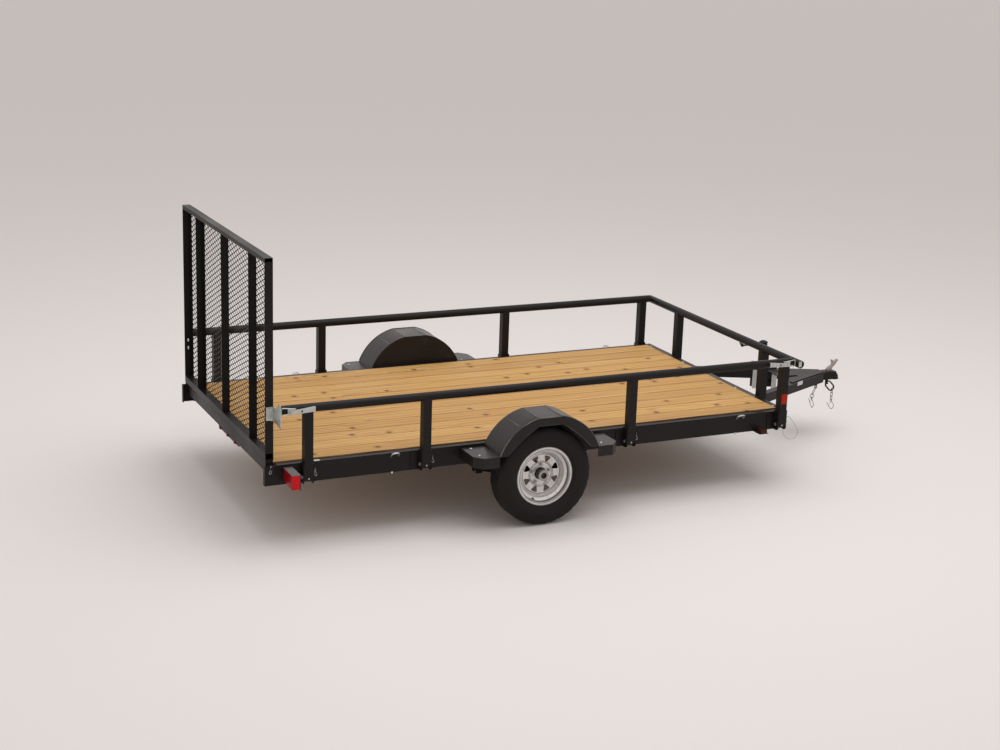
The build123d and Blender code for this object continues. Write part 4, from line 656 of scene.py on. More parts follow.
def expanded_mesh(bm, low, high):
    """Diamond mesh in a panel: tilted strands round every opening."""
    middle_x = (low.x + high.x) / 2
    columns = round((high.y - low.y) / (DIAMOND_WIDTH * MM))
    rows = round((high.z - low.z) / (DIAMOND_HEIGHT * MM))
    wide = (high.y - low.y) / columns
    tall = (high.z - low.z) / rows
    strand = STRAND * MM / 2
    tilt = MESH_TILT * MM / 2
    inner_w = wide / 2 - strand * STRAND_SPREAD[0]
    inner_h = tall / 2 - strand * STRAND_SPREAD[1]
    corners = {}

    def corner(y, z):
        key = (round(y * 1e5), round(z * 1e5))
        if key not in corners:
            corners[key] = bm.verts.new((middle_x, y, z))
        return corners[key]

    for row in range(2 * rows + 1):
        odd = row % 2
        for column in range(columns + 1 - odd):
            y = low.y + (column + 0.5 * odd) * wide
            z = low.z + row * tall / 2
            rim = [corner(y + wide / 2, z), corner(y, z + tall / 2),
                   corner(y - wide / 2, z), corner(y, z - tall / 2)]
            hole = [bm.verts.new((middle_x, y + inner_w, z)), bm.verts.new((middle_x + tilt, y, z + inner_h)),
                    bm.verts.new((middle_x, y - inner_w, z)), bm.verts.new((middle_x - tilt, y, z - inner_h))]
            for k in range(4):
                n = (k + 1) % 4
                bm.faces.new((rim[k], rim[n], hole[n], hole[k]))
    for point, normal in ((low, -ACROSS), (high, ACROSS), (low, -UPWARD), (high, UPWARD)):
        geometry = bm.verts[:] + bm.edges[:] + bm.faces[:]
        bmesh.ops.bisect_plane(bm, geom=geometry, plane_co=point, plane_no=normal, clear_outer=True)
    bmesh.ops.solidify(bm, geom=bm.faces[:], thickness=MESH_THICKNESS * MM)


# ---- fender trim --------------------------------------------------------------------------------
FENDER_BASE = 474.0
FENDER_TOP = 684.0
FENDER_HALF = 322.0
FENDER_BULGE = 92.0
FENDER_SHOULDER = 76.0
FLAT_HALF = 78.0
FENDER_EDGE = 1136.0
FENDER_ROOT = 900.0
FENDER_SKIRT = 46.0
FENDER_SETBACK = {1: 30.0, -1: 0.0}
LIP_RADIUS = 3.6
HEM_RADIUS = 2.4
CREASE_RADIUS = 2.8
CREASES = (-78.0, -190.0, 66.0)
FENDER_STEPS = 16


def arc(a, b, c, steps):
    """Points on the circle through three (x, z) points, from the first to the last."""
    (ax, az), (bx, bz), (cx, cz) = a, b, c
    d = 2 * (ax * (bz - cz) + bx * (cz - az) + cx * (az - bz))
    sa, sb, sc = ax * ax + az * az, bx * bx + bz * bz, cx * cx + cz * cz
    ox = (sa * (bz - cz) + sb * (cz - az) + sc * (az - bz)) / d
    oz = (sa * (cx - bx) + sb * (ax - cx) + sc * (bx - ax)) / d
    start, end = math.atan2(az - oz, ax - ox), math.atan2(cz - oz, cx - ox)
    if start - end > math.pi:
        start -= 2 * math.pi
    if end - start > math.pi:
        start += 2 * math.pi
    radius = math.hypot(ax - ox, az - oz)
    turns = [start + (end - start) * k / steps for k in range(steps + 1)]
    return [(ox + radius * math.cos(t), oz + radius * math.sin(t)) for t in turns]


def fender_line(inset):
    """A fender's side view from its rear foot to its front foot, about its middle."""
    half, top = FENDER_HALF - inset, FENDER_TOP - inset
    shoulder = (FENDER_BULGE - half, top - FENDER_SHOULDER)
    rear = arc((-half, FENDER_BASE), shoulder, (-FLAT_HALF, top), FENDER_STEPS)
    return rear + [(-x, z) for x, z in reversed(rear)]


def fender_trim(bm, sign):
    """Rolled lips along a fender's outer edges and pressed creases across its top."""
    middle = AXLE[0] - FENDER_SETBACK[sign]
    for inset, radius in ((0.0, LIP_RADIUS), (FENDER_SKIRT, HEM_RADIUS)):
        y = sign * (FENDER_EDGE - radius)
        lowest = FENDER_BASE + radius
        wire(bm, [at(middle + x, y, max(z, lowest)) for x, z in fender_line(inset)], radius)
    outline = fender_line(0.0)
    for place in CREASES:
        spans = [(a, b) for a, b in zip(outline, outline[1:]) if a[0] <= place <= b[0]]
        (x0, z0), (x1, z1) = spans[0]
        z = z0 + (z1 - z0) * (place - x0) / (x1 - x0)
        ends = [at(middle + place, sign * y, z) for y in (FENDER_ROOT, FENDER_EDGE - 2 * LIP_RADIUS)]
        wire(bm, ends, CREASE_RADIUS)


# ---- fittings -----------------------------------------------------------------------------------
# Heads as (radius, height) rings.
HEX_HEAD = ((8.6, 0.0), (8.6, 4.6), (7.4, 5.6))
WASHER = ((10.5, 0.0), (10.5, 1.4), (9.9, 1.7))
WASHER_LIFT = 1.5
DOME_HEAD = ((7.2, 0.0), (7.0, 1.4), (5.4, 2.8), (2.7, 3.7))
BIG_HEAD = ((11.0, 0.0), (10.6, 2.0), (8.2, 4.0), (4.0, 5.2))
RIVET_HEAD = ((5.0, 0.0), (4.7, 1.2), (3.2, 2.2), (1.2, 2.6))
ROUND_SIDES = 20
RIVET_SIDES = 12
# Where they sit: the bolts on both sides, FRONT_BOLT_LINES and GATE_HEADS once each.
STEP_BOLTS = ((2031.0, 947.0), (2033.0, 1073.0), (1247.0, 926.0), (1241.0, 1062.0))
RAIL_BOLTS = ((207.0, 431.0), (3378.0, 426.0), (3378.0, 393.0), (766.0, 368.0), (3098.0, 367.0))
# Ahead of a middle post, and its height.
POST_BOLT = (-44.0, 420.0)
DECK_CLIP = ((292.0, 868.0, 487.2), (328.0, 889.0, 491.4))
DECK_CLIP_BEVEL = 1.0
FRONT_BOLT_LINES = (810.0, 355.0, -331.0, -780.0)
FRONT_BOLT_ROW = (3443.0, 488.0)
GATE_HAIRPIN = (38.0, 902.0, 486.0)
HAIRPIN_GAP = 9.0
CATCH_BOLTS = ((51.0, 860.3, 800.0), (51.0, 860.3, 752.0))
GATE_HEADS = ((14.0, 760.0, 814.0), (14.0, 760.0, 764.0))
POST_FACE = 946.8
PIVOT_Z = 407.0
# A hairpin's route from its hole: (to the side, up).
HAIRPIN = ((0.0, 6.0), (0.0, -22.0), (2.5, -36.0), (9.0, -43.0), (15.0, -36.0), (12.0, -26.0), (5.0, -18.0),
           (9.0, -10.0), (5.0, -3.0), (8.0, 4.0))
HAIRPIN_WIRE = 1.4


def hex_bolt(bm, place, axis):
    """Hex bolt head on a washer."""
    turn(bm, place, axis, WASHER, ROUND_SIDES)
    turn(bm, place + Vector(axis).normalized() * WASHER_LIFT * MM, axis, HEX_HEAD, 6)


def dome_bolt(bm, place, axis):
    """Carriage bolt head."""
    turn(bm, place, axis, DOME_HEAD, ROUND_SIDES)


def hairpin(bm, top, side):
    """Spring hairpin hanging from a hole: a straight leg, a round eye and a waved leg."""
    points = [top + side * a * MM + UPWARD * b * MM for a, b in HAIRPIN]
    wire(bm, rounded_path(points, 5), HAIRPIN_WIRE)


def frame_bolts(bm):
    """Bolts on the fender steps, the rails and the front sill, and the deck clips."""
    for sign in SIDES.values():
        out = ACROSS * sign
        for x, y in STEP_BOLTS:
            dome_bolt(bm, at(x - FENDER_SETBACK[sign], sign * y, FENDER_BASE), UPWARD)
        for x, z in RAIL_BOLTS:
            dome_bolt(bm, at(x, sign * RAIL_FACE, z), out)
        for x in POSTS[1:3]:
            dome_bolt(bm, at(x + POST_BOLT[0], sign * RAIL_FACE, POST_BOLT[1]), out)
        side_block(bm, sign, *DECK_CLIP, DECK_CLIP_BEVEL)
    x, z = FRONT_BOLT_ROW
    for y in FRONT_BOLT_LINES:
        dome_bolt(bm, at(x, y, z), UPWARD)


def hairpins(bm):
    """A hairpin at each lock pin and at each of the gate's pins."""
    gate_x, gate_y, gate_z = GATE_HAIRPIN
    for sign in SIDES.values():
        for x in POSTS:
            hairpin(bm, at(x + EAR_FACE + HAIRPIN_GAP, sign * GUARD_LINE, LOCK_PIN_Z), ALONG)
        hairpin(bm, at(gate_x, sign * gate_y, gate_z), -ALONG)


def catch_bolts(bm):
    """Bolts through the gate's catches, and the two heads of the far one."""
    for sign in SIDES.values():
        for x, y, z in CATCH_BOLTS:
            hex_bolt(bm, at(x, sign * y, z), ACROSS * sign)
    for place in GATE_HEADS:
        turn(bm, at(*place), -ALONG, BIG_HEAD, ROUND_SIDES)


def post_rivets(bm, sign):
    """A rivet through each post of one guard."""
    for x in POSTS:
        turn(bm, at(x, sign * POST_FACE, PIVOT_Z), ACROSS * sign, RIVET_HEAD, RIVET_SIDES)


# ---- safety chains ------------------------------------------------------------------------------
CHAIN_WIRE = 2.5
LINK_STEPS = 24
# A hook's route from its eye: (to the side, up).
HOOK_ROUTE = ((0.0, -9.0), (16.0, -21.0), (26.0, -44.0), (10.0, -64.5), (-11.0, -47.0), (-34.0, -12.0))
HOOK_EYE = 8.0
HOOK_LATCH = ((1.0, -11.0), (-17.0, -35.0))
LATCH_WIRE = 1.2
NEAR_CHAIN = (4266.0, -92.0, 353.2)
NEAR_LEAN = math.radians(26.0)
NEAR_REACH = 59.0
# Links as (outer length, outer width).
NEAR_LINK = (64.0, 18.0)
NEAR_RING = 14.5
RING_DROP = 9.0
RING_TO_HOOK = 16.9
FAR_CHAIN = (4443.0, -42.0, 315.6)
FAR_LINKS = ((38.0, 22.0), (36.0, 22.0), (36.0, 22.0))
LINKS_SHARE = 10.3
LINK_TO_HOOK = 10.2


def oval_link(bm, centre, long_axis, cross_axis, size):
    """Chain link of round wire."""
    length, width = size
    half = (width / 2 - CHAIN_WIRE) * MM
    reach = (length / 2 - width / 2) * MM
    points = []
    for k in range(LINK_STEPS):
        angle = 2 * math.pi * (k + 0.5) / LINK_STEPS
        along = half * math.cos(angle) + (reach if math.cos(angle) > 0 else -reach)
        points.append(centre + long_axis * along + cross_axis * half * math.sin(angle))
    wire(bm, points, CHAIN_WIRE, closed=True)


def chain_hook(bm, eye, across):
    """Hook with a round eye and a spring latch."""
    def hang(route):
        return [eye + across * h * MM + UPWARD * v * MM for h, v in route]
    wire(bm, circle(eye, across, UPWARD, HOOK_EYE, 18), CHAIN_WIRE, closed=True)
    wire(bm, rounded_path(hang(HOOK_ROUTE), 6), CHAIN_WIRE)
    wire(bm, hang(HOOK_LATCH), LATCH_WIRE, 6)


def near_chain(bm):
    """The near chain: a long link, a ring and a hook."""
    lean = Vector((math.sin(NEAR_LEAN), 0, math.cos(NEAR_LEAN)))
    top = at(*NEAR_CHAIN)
    low = top - lean * NEAR_REACH * MM
    oval_link(bm, (top + low) / 2, lean, ACROSS, NEAR_LINK)
    ring = low - UPWARD * RING_DROP * MM
    wire(bm, circle(ring, ALONG, UPWARD, NEAR_RING, 28), CHAIN_WIRE, closed=True)
    chain_hook(bm, ring - UPWARD * RING_TO_HOOK * MM, -ACROSS)


def far_chain(bm):
    """The far chain: links turned by quarters, and a hook."""
    x, y, top = FAR_CHAIN
    for number, (length, width) in enumerate(FAR_LINKS):
        cross = ALONG if number % 2 else ACROSS
        oval_link(bm, at(x, y, top - length / 2), UPWARD, cross, (length, width))
        top -= length - LINKS_SHARE
    chain_hook(bm, at(x, y, top - LINK_TO_HOOK), ALONG)


def safety_chains(bm):
    """Both safety chains in round wire, each with its hook."""
    near_chain(bm)
    far_chain(bm)


# ---- valve stems --------------------------------------------------------------------------------
VALVE_RADIUS = 151.0
VALVE_TURN = math.radians(245.4)
VALVE_FOOT = 1046.0
# The stem as (radius, height) rings.
VALVE_STEM = ((4.6, 0.0), (4.6, 12.0), (3.22, 14.0), (3.22, 25.0))


def valve(bm, sign):
    """Rubber valve stem in the rim."""
    x = AXLE[0] + VALVE_RADIUS * math.cos(VALVE_TURN)
    z = AXLE[1] + VALVE_RADIUS * math.sin(VALVE_TURN)
    turn(bm, at(x, sign * VALVE_FOOT, z), ACROSS * sign, VALVE_STEM, RIVET_SIDES)


# ---- blank plate --------------------------------------------------------------------------------
BEAM_LEAN = math.radians(24.6)
BEAM_APEX = 4415.0
BEAM_FACE = 28.0
PLATE_MIDDLE = (4062.0, 425.0)
PLATE_HALF_HEIGHT = 13.0
PLATE_DEPTH = 0.7


def blank_plate(bm, length):
    """Thin blank plate on the outer face of the right tongue beam."""
    x, z = PLATE_MIDDLE
    y = -((BEAM_APEX - x) * math.tan(BEAM_LEAN) + BEAM_FACE)
    along = Vector((math.cos(BEAM_LEAN), math.sin(BEAM_LEAN), 0))
    out = Vector((math.sin(BEAM_LEAN), -math.cos(BEAM_LEAN), 0))
    corners = []
    for depth in (-PLATE_DEPTH, PLATE_DEPTH):
        for h, v in ((-1, -1), (1, -1), (1, 1), (-1, 1)):
            corner = at(x, y, z + v * PLATE_HALF_HEIGHT) + along * h * length / 2 + out * depth * MM
            corners.append(bm.verts.new(corner))
    for face in ((3, 2, 1, 0), (4, 5, 6, 7), (0, 1, 5, 4), (1, 2, 6, 5), (2, 3, 7, 6), (3, 0, 4, 7)):
        bm.faces.new([corners[k] for k in face])


# ---- lamps --------------------------------------------------------------------------------------
# Box lamps: (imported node, finish, slot, depth from the outer end).
BOX_LENSES = (
    ("tail_lamps", "red_lens", "red_lens", 160.0),
    ("marker_lamps", "smoked_lens", "amber_lens", 42.0),
)
ROUND_LENS_LINES = (-155.0, 0.0, 155.0)
ROUND_LENS_PLACE = (51.7, 409.0)
ROUND_LENS = ((15.0, 0.0), (15.0, 8.0), (13.6, 11.0), (10.0, 13.0), (5.0, 13.6))
ROUND_LENS_SIDES = 24
REFLECTOR_RUN = (3390.0, 3430.0)
REFLECTOR_DEPTH = (946.9, 948.6)
REFLECTOR_Z = 581.0
REFLECTOR_BEVEL = 0.6


def box_lenses(bm, low, high, depth, bevel):
    """A lens at each side of the trailer, filling a packed pair of lamps."""
    for sign in SIDES.values():
        outer = high[1] * sign
        y0, y1 = sorted((outer - sign * depth * MM, outer))
        block(bm, (low[0], y0, low[2]), (high[0], y1, high[2]), bevel)


def round_lenses(bm):
    """The three round lamps under the rear sill."""
    x, z = ROUND_LENS_PLACE
    for y in ROUND_LENS_LINES:
        turn(bm, at(x, y, z), -ALONG, ROUND_LENS, ROUND_LENS_SIDES)


def reflector(bm, sign, height):
    """Red strip on a front post."""
    half = height / 2 / MM
    low = (REFLECTOR_RUN[0], REFLECTOR_DEPTH[0], REFLECTOR_Z - half)
    high = (REFLECTOR_RUN[1], REFLECTOR_DEPTH[1], REFLECTOR_Z + half)
    side_block(bm, sign, low, high, REFLECTOR_BEVEL)


# ---- stage --------------------------------------------------------------------------------------
FLOOR_SIDES = 96
CEILING_PLACE = (0.0, -1.0, 7.5)
CEILING_TARGET = (0.0, 0.0, 0.4)
CEILING_SIZE = 7.0
FAR_CLIP = 300.0
# Rays that meet the plain white room; the rest meet its gentler light.
SHOWN_TO = ("Is Camera Ray", "Is Glossy Ray", "Is Transmission Ray")


def look_matrix(place, yaw, pitch, roll):
    """Camera matrix from its place, its heading from +Y towards +X, its tilt down and its roll."""
    forward = Vector((math.sin(yaw) * math.cos(pitch), math.cos(yaw) * math.cos(pitch), -math.sin(pitch)))
    right = Vector((math.cos(yaw), -math.sin(yaw), 0.0))
    up = right.cross(forward)
    level = right * math.cos(roll) + up * math.sin(roll)
    upright = up * math.cos(roll) - right * math.sin(roll)
    matrix = Matrix((level, upright, -forward)).transposed().to_4x4()
    matrix.translation = place
    return matrix


def floor_disc(colour, radius):
    """A round pale floor."""
    material = Finish("pale_floor").surface(Base_Color=(*colour, 1.0), Roughness=0.9)
    mesh = bpy.data.meshes.new("floor")
    bm = bmesh.new()
    bmesh.ops.create_circle(bm, cap_ends=True, segments=FLOOR_SIDES, radius=radius)
    bm.to_mesh(mesh)
    bm.free()
    mesh.materials.append(material)
    floor = bpy.data.objects.new("floor", mesh)
    bpy.context.scene.collection.objects.link(floor)


def studio_world(colour, light):
    """An even white room: white to the eye and to reflections, gentler as light."""
    world = bpy.data.worlds.new("white_room")
    bpy.context.scene.world = world
    world.use_nodes = True
    g = Graph(world.node_tree)
    camera, glossy, through = (g.node("ShaderNodeLightPath", {}, output=ray) for ray in SHOWN_TO)
    seen = g.node("ShaderNodeBackground", {}, (*colour, 1.0), 1.0)
    glow = g.node("ShaderNodeBackground", {}, (*colour, 1.0), light)
    room = g.node("ShaderNodeMixShader", {}, camera.larger(glossy).larger(through), glow, seen)
    g.link(g.tree.nodes["World Output"].inputs["Surface"], room)


def soft_light(name, place, target, size, power):
    """A large square lamp aimed at a point."""
    data = bpy.data.lights.new(name, "AREA")
    data.shape = "SQUARE"
    data.size = size
    data.energy = power
    lamp = bpy.data.objects.new(name, data)
    lamp.location = place
    lamp.rotation_euler = (Vector(target) - Vector(place)).to_track_quat("-Z", "Y").to_euler()
    bpy.context.scene.collection.objects.link(lamp)


# ---- what a user would change -------------------------------------------------------------------
def paint(name, description, default):
    """A colour of a finish."""
    return bpy.props.FloatVectorProperty(name=name, description=description, default=default,
                                         subtype="COLOR", min=0.0, max=1.0)


def size(name, description, default):
    """A length in metres."""
    return bpy.props.FloatProperty(name=name, description=description, default=default, unit="LENGTH")


def angle(name, description, default):
    """An angle in radians."""
    return bpy.props.FloatProperty(name=name, description=description, default=default, subtype="ANGLE")


class TrailerColours(bpy.types.PropertyGroup):
    """The two tones that each finish wanders between."""

    frame_dark: paint("Frame", "Frame enamel where it is clean", (0.0058, 0.0049, 0.0046))
    frame_pale: paint("Frame, dusty", "Frame enamel where dust lies", (0.0135, 0.0114, 0.0106))
    fender_dark: paint("Fender", "Fender enamel where it is clean", (0.0090, 0.0072, 0.0068))
    fender_pale: paint("Fender, dusty", "Fender enamel where dust lies", (0.0185, 0.0150, 0.0140))
    deck_pale: paint("Deck, pale", "Palest tone of the deck boards", (0.64, 0.395, 0.140))
    deck_warm: paint("Deck, warm", "Warmer patches in every board", (0.51, 0.288, 0.084))
    deck_dark: paint("Deck, dark", "Tone of the darkest boards", (0.455, 0.250, 0.078))
    zinc_dull: paint("Zinc, dull", "Duller blotches of fresh zinc plate", (0.36, 0.375, 0.36))
    zinc_bright: paint("Zinc, bright", "Brighter blotches of fresh zinc plate", (0.60, 0.615, 0.595))
    aged_dull: paint("Aged zinc, dull", "Duller blotches of worn zinc plate", (0.23, 0.20, 0.18))
    aged_bright: paint("Aged zinc, bright", "Brighter blotches of worn zinc plate", (0.42, 0.385, 0.355))
    rim_dull: paint("Rim, dull", "Darker spangle of the wheels", (0.56, 0.55, 0.545))
    rim_bright: paint("Rim, bright", "Paler spangle of the wheels", (0.70, 0.69, 0.68))
    hub_dark: paint("Hub, dark", "Oiled steel of the hubs", (0.012, 0.011, 0.010))
    hub_pale: paint("Hub, pale", "Smears on the hubs", (0.040, 0.036, 0.033))
    rubber_dark: paint("Rubber, dark", "Clean rubber of the tyres", (0.0085, 0.0072, 0.0066))
    rubber_pale: paint("Rubber, pale", "Dusty rubber of the tyres", (0.0170, 0.0146, 0.0134))
    bracket_dark: paint("Bracket, dark", "Lamp brackets where they are clean", (0.011, 0.010, 0.010))
    bracket_pale: paint("Bracket, pale", "Lamp brackets where dust lies", (0.022, 0.019, 0.0185))
    tail_deep: paint("Tail lens, deep", "Hollows of the tail lamps' prisms", (0.46, 0.003, 0.006))
    tail_bright: paint("Tail lens, bright", "Crests of the tail lamps' prisms", (0.70, 0.008, 0.014))
    bar_deep: paint("Bar lens, deep", "Hollows of the round lamps' prisms", (0.09, 0.002, 0.004))
    bar_bright: paint("Bar lens, bright", "Crests of the round lamps' prisms", (0.26, 0.008, 0.012))
    strip_deep: paint("Red strip, deep", "Hollows of the strips' prisms", (0.26, 0.010, 0.002))
    strip_bright: paint("Red strip, bright", "Crests of the strips' prisms", (0.52, 0.034, 0.006))
    # The side lamps' lens tones are darkened as painted shade.
    marker_deep: paint("Marker lens, deep", "Hollows of the side lamps' prisms", (0.030, 0.006, 0.004))
    marker_bright: paint("Marker lens, bright", "Crests of the side lamps' prisms", (0.075, 0.016, 0.010))
    plate_dull: paint("Plate, dull", "Duller mottle of the blank plate", (0.52, 0.52, 0.50))
    plate_pale: paint("Plate, pale", "Paler mottle of the blank plate", (0.62, 0.62, 0.60))
    cord_dark: paint("Cord, dark", "Darker mottle of the lock pin's cord", (0.20, 0.20, 0.195))
    cord_pale: paint("Cord, pale", "Paler mottle of the lock pin's cord", (0.30, 0.30, 0.29))
    valve_dark: paint("Valve, dark", "Darker mottle of the valve stems", (0.012, 0.011, 0.011))
    valve_pale: paint("Valve, pale", "Paler mottle of the valve stems", (0.022, 0.020, 0.020))
    floor: paint("Floor", "Studio floor", (0.70, 0.672, 0.66))
    room: paint("Room", "Studio walls and their light", (1.0, 0.952, 0.932))


class TrailerFittings(bpy.types.PropertyGroup):
    """Sizes of the pieces that dress the trailer."""

    reflector_height: size("Reflector", "Height of the red strip on the front post", 0.066)
    plate_length: size("Plate", "Length of the blank plate on the tongue", 0.066)
    lanyard_width: size("Lanyard", "Diameter of the lock pin's cord", 0.0024)
    lamp_rounding: bpy.props.FloatProperty(
        name="Lamp rounding", description="Bevel of the lamp lenses, in millimetres", default=4.0)


class TrailerStage(bpy.types.PropertyGroup):
    """Camera and room."""

    lens: bpy.props.FloatProperty(name="Lens", description="Focal length", default=62.68, unit="CAMERA")
    camera_place: bpy.props.FloatVectorProperty(
        name="Camera", description="Where the camera stands", default=(-5.0282, -9.7935, 3.6166),
        subtype="XYZ")
    heading: angle("Heading", "Turn of the camera from +Y towards +X", 0.4415)
    tilt: angle("Tilt", "Tilt of the camera down from level", 0.2695)
    roll: angle("Roll", "Roll of the camera", 0.0337)
    room_light: bpy.props.FloatProperty(
        name="Room light", description="Strength of the even light", default=0.74)
    ceiling: bpy.props.FloatProperty(
        name="Ceiling", description="Power of the ceiling lamp", default=330.0, unit="POWER")
    floor_radius: size("Floor", "Radius of the floor", 90.0)


# ---- operators ----------------------------------------------------------------------------------
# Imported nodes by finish; every other node is satin black.
FINISHED_NODES = {
    "treated_pine": ("deck_boards",),
    "charcoal_paint": ("fender_left", "fender_right", "fender_steps"),
    "bright_zinc": ("pivot_pins", "gate_catches", "front_catches", "latches_left", "latches_right",
                    "jack_clamps", "tie_loops"),
    "aged_zinc": ("coupler_latch", "jack_leg"),
    "galvanised": ("rim_left", "rim_right"),
    "oily_steel": ("hub_left", "hub_right"),
    "bracket_steel": ("lamp_brackets",),
}
VINYL_ROUGHNESS = 0.45
BRAID_ROUGHNESS = 0.6
STEM_ROUGHNESS = 0.42


class TRAILER_OT_finishes(bpy.types.Operator):
    """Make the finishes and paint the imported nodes."""

    bl_idname = "trailer.finishes"
    bl_label = "Finishes"

    def execute(self, context):
        tones = context.scene.trailer_colours
        for make in (satin_black, charcoal_paint, treated_pine, galvanised, oily_steel, tyre_rubber,
                     bracket_steel):
            make(tones)
        polished_lip()
        zinc_plate("bright_zinc", tones.zinc_dull, tones.zinc_bright)
        zinc_plate("aged_zinc", tones.aged_dull, tones.aged_bright)
        lens("red_lens", tones.tail_deep, tones.tail_bright, TAIL_END_SHADE)
        lens("dark_red_lens", tones.bar_deep, tones.bar_bright)
        lens("reflector_red", tones.strip_deep, tones.strip_bright)
        # The side lamps' lens is painted dark as painted shade.
        lens("smoked_lens", tones.marker_deep, tones.marker_bright)
        plain_plastic("blank_vinyl", tones.plate_dull, tones.plate_pale, VINYL_ROUGHNESS)
        plain_plastic("grey_braid", tones.cord_dark, tones.cord_pale, BRAID_ROUGHNESS)
        plain_plastic("black_plastic", tones.valve_dark, tones.valve_pale, STEM_ROUGHNESS)
        chosen = {node: name for name, nodes in FINISHED_NODES.items() for node in nodes}
        for name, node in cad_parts.items():
            node.data.materials.clear()
            node.data.materials.append(finish_of(chosen.get(name, "satin_black")))
        return {"FINISHED"}


class TRAILER_OT_tyres(bpy.types.Operator):
    """Put ribbed tyres on both wheels."""

    bl_idname = "trailer.tyres"
    bl_label = "Tyres"

    def execute(self, context):
        for side, sign in SIDES.items():
            centre = at(AXLE[0], sign * TYRE_LINE, AXLE[1])
            made = piece("ribbed_tyre_" + side, lambda bm: tyre(bm, centre), "tyre_rubber", "wheel_" + side)
            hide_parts("tyre_" + side)
        return {"FINISHED"}


class TRAILER_OT_gate_mesh(bpy.types.Operator):
    """Fill the gate with expanded mesh."""

    bl_idname = "trailer.gate_mesh"
    bl_label = "Gate mesh"

    def execute(self, context):
        low, high = (Vector(corner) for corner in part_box("gate_mesh"))
        low += Vector((0, MESH_EDGE, MESH_EDGE)) * MM
        high -= Vector((0, MESH_EDGE, MESH_EDGE)) * MM
        made = piece("expanded_mesh", lambda bm: expanded_mesh(bm, low, high), "satin_black", "ramp_gate")
        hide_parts("gate_mesh")
        return {"FINISHED"}


class TRAILER_OT_fasteners(bpy.types.Operator):
    """Bolts, rivets and hairpins."""

    bl_idname = "trailer.fasteners"
    bl_label = "Fasteners"

    def execute(self, context):
        piece("frame_bolts", frame_bolts, "bright_zinc", "chassis")
        piece("hairpins", hairpins, "bright_zinc", "chassis")
        piece("catch_bolts", catch_bolts, "bright_zinc", "ramp_gate")
        for side, sign in SIDES.items():
            piece("post_rivets_" + side, lambda bm: post_rivets(bm, sign), "bright_zinc", "guard_" + side)
        return {"FINISHED"}


class TRAILER_OT_lamps(bpy.types.Operator):
    """Lenses of the tail, side and round lamps."""

    bl_idname = "trailer.lamps"
    bl_label = "Lamps"

    def execute(self, context):
        bevel = context.scene.trailer_fittings.lamp_rounding
        for node, finish, slot, depth in BOX_LENSES:
            low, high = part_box(node)
            made = piece(node[:-1] + "_lenses", lambda bm: box_lenses(bm, low, high, depth, bevel), finish,
                         "chassis")
            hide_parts(node)
        made = piece("round_lenses", round_lenses, "dark_red_lens", "chassis")
        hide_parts("id_lamps")
        return {"FINISHED"}


class TRAILER_OT_reflectors(bpy.types.Operator):
    """Red strips, which ride with the guards that they are stuck to."""

    bl_idname = "trailer.reflectors"
    bl_label = "Red strips"

    def execute(self, context):
        height = context.scene.trailer_fittings.reflector_height
        for side, sign in SIDES.items():
            piece("reflector_" + side, lambda bm: reflector(bm, sign, height), "reflector_red",
                  "guard_" + side)
        return {"FINISHED"}


class TRAILER_OT_plate(bpy.types.Operator):
    """The blank plate on the tongue."""

    bl_idname = "trailer.plate"
    bl_label = "Blank plate"

    def execute(self, context):
        length = context.scene.trailer_fittings.plate_length
        piece("blank_plate", lambda bm: blank_plate(bm, length), "blank_vinyl", "chassis")
        return {"FINISHED"}


class TRAILER_OT_trim(bpy.types.Operator):
    """Fender lips and creases, and the valve stems."""

    bl_idname = "trailer.trim"
    bl_label = "Trim"

    def execute(self, context):
        for side, sign in SIDES.items():
            # The lips and creases carry the painted highlight.
            piece("fender_trim_" + side, lambda bm: fender_trim(bm, sign), "polished_lip", "chassis")
            piece("valve_" + side, lambda bm: valve(bm, sign), "black_plastic", "wheel_" + side)
        return {"FINISHED"}


class TRAILER_OT_chains(bpy.types.Operator):
    """Round-wire safety chains."""

    bl_idname = "trailer.chains"
    bl_label = "Safety chains"

    def execute(self, context):
        made = piece("round_chains", safety_chains, "aged_zinc", "chassis")
        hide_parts("safety_chains")
        return {"FINISHED"}


# Lock pin's cord: millimetres ahead of the rails' rear end, left of the middle, above the floor.
LANYARD = (
    (3455.4, -921.4, 455.0), (3476.0, -921.4, 455.0), (3500.0, -922.0, 426.0), (3532.0, -921.0, 388.0),
    (3560.0, -917.0, 346.0), (3553.0, -911.0, 308.0), (3523.0, -904.0, 288.0), (3485.0, -897.0, 299.0),
    (3462.0, -886.0, 330.0), (3462.0, -886.0, 370.7),
)


class TRAILER_OT_lanyard(bpy.types.Operator):
    """The front lock pin's cord."""

    bl_idname = "trailer.lanyard"
    bl_label = "Lanyard"

    def execute(self, context):
        width = context.scene.trailer_fittings.lanyard_width
        curve = bpy.data.curves.new("lanyard_cord", "CURVE")
        curve.dimensions = "3D"
        curve.bevel_depth = width / 2
        curve.bevel_resolution = 3
        curve.use_fill_caps = True
        spline = curve.splines.new("NURBS")
        spline.points.add(len(LANYARD) - 1)
        for point, route in zip(spline.points, LANYARD):
            point.co = (*at(*route), 1.0)
        spline.order_u = 3
        spline.use_endpoint_u = True
        spline.resolution_u = 10
        curve.materials.append(finish_of("grey_braid"))
        made = bpy.data.objects.new("lanyard_cord", curve)
        bpy.context.scene.collection.objects.link(made)
        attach(made, "chassis")
        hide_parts("lanyard")
        at(*LANYARD[0])
        return {"FINISHED"}


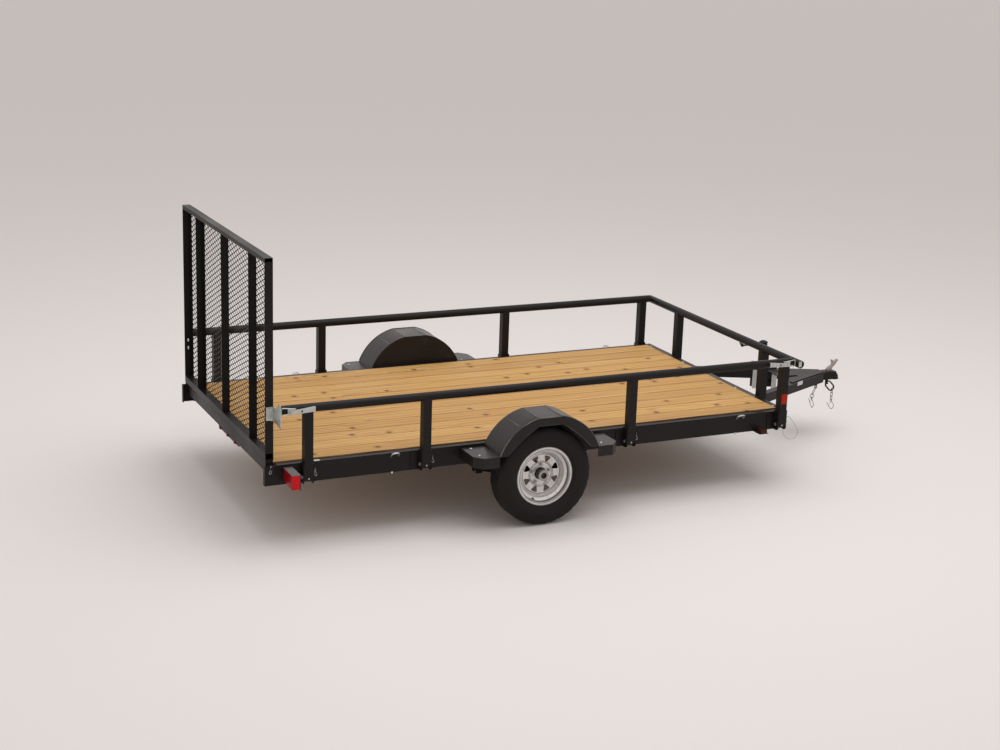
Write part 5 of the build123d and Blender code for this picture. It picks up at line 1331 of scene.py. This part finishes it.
class TRAILER_OT_stage(bpy.types.Operator):
    """Set the floor, the lights and the camera."""

    bl_idname = "trailer.stage"
    bl_label = "Stage"

    def execute(self, context):
        tones = context.scene.trailer_colours
        values = context.scene.trailer_stage
        context.scene.view_settings.view_transform = "Standard"
        floor_disc(tones.floor, values.floor_radius)
        studio_world(tones.room, values.room_light)
        soft_light("ceiling", CEILING_PLACE, CEILING_TARGET, CEILING_SIZE, values.ceiling)
        data = bpy.data.cameras.new("view")
        data.lens = values.lens
        data.clip_end = FAR_CLIP
        camera = bpy.data.objects.new("view", data)
        place = Vector(values.camera_place)
        camera.matrix_world = look_matrix(place, values.heading, values.tilt, values.roll)
        context.scene.collection.objects.link(camera)
        context.scene.camera = camera
        return {"FINISHED"}


STEPS = ("finishes", "tyres", "gate_mesh", "fasteners", "lamps", "reflectors", "plate", "trim", "chains",
         "lanyard", "stage")
GROUPS = {
    "trailer_colours": TrailerColours,
    "trailer_fittings": TrailerFittings,
    "trailer_stage": TrailerStage,
}


class TRAILER_PT_dressing(bpy.types.Panel):
    """Lists the steps, their sizes and their colours."""

    bl_idname = "TRAILER_PT_dressing"
    bl_label = "Utility trailer"
    bl_space_type = "VIEW_3D"
    bl_region_type = "UI"
    bl_category = "Trailer"

    def draw(self, context):
        for step in STEPS:
            self.layout.operator("trailer." + step)
        for group, kind in GROUPS.items():
            for name in kind.__annotations__:
                self.layout.prop(getattr(context.scene, group), name)


CLASSES = (
    *GROUPS.values(), TRAILER_OT_finishes, TRAILER_OT_tyres, TRAILER_OT_gate_mesh, TRAILER_OT_fasteners,
    TRAILER_OT_lamps, TRAILER_OT_reflectors, TRAILER_OT_plate, TRAILER_OT_trim, TRAILER_OT_chains,
    TRAILER_OT_lanyard, TRAILER_OT_stage, TRAILER_PT_dressing,
)


# ---- add-on -------------------------------------------------------------------------------------
def register():
    for cls in CLASSES:
        bpy.utils.register_class(cls)
    for group, kind in GROUPS.items():
        setattr(bpy.types.Scene, group, bpy.props.PointerProperty(type=kind))


def unregister():
    for group in GROUPS:
        delattr(bpy.types.Scene, group)
    for cls in reversed(CLASSES):
        bpy.utils.unregister_class(cls)


def main():
    register()
    for step in STEPS:
        getattr(bpy.ops.trailer, step)()


if __name__ == "__main__":
    main()
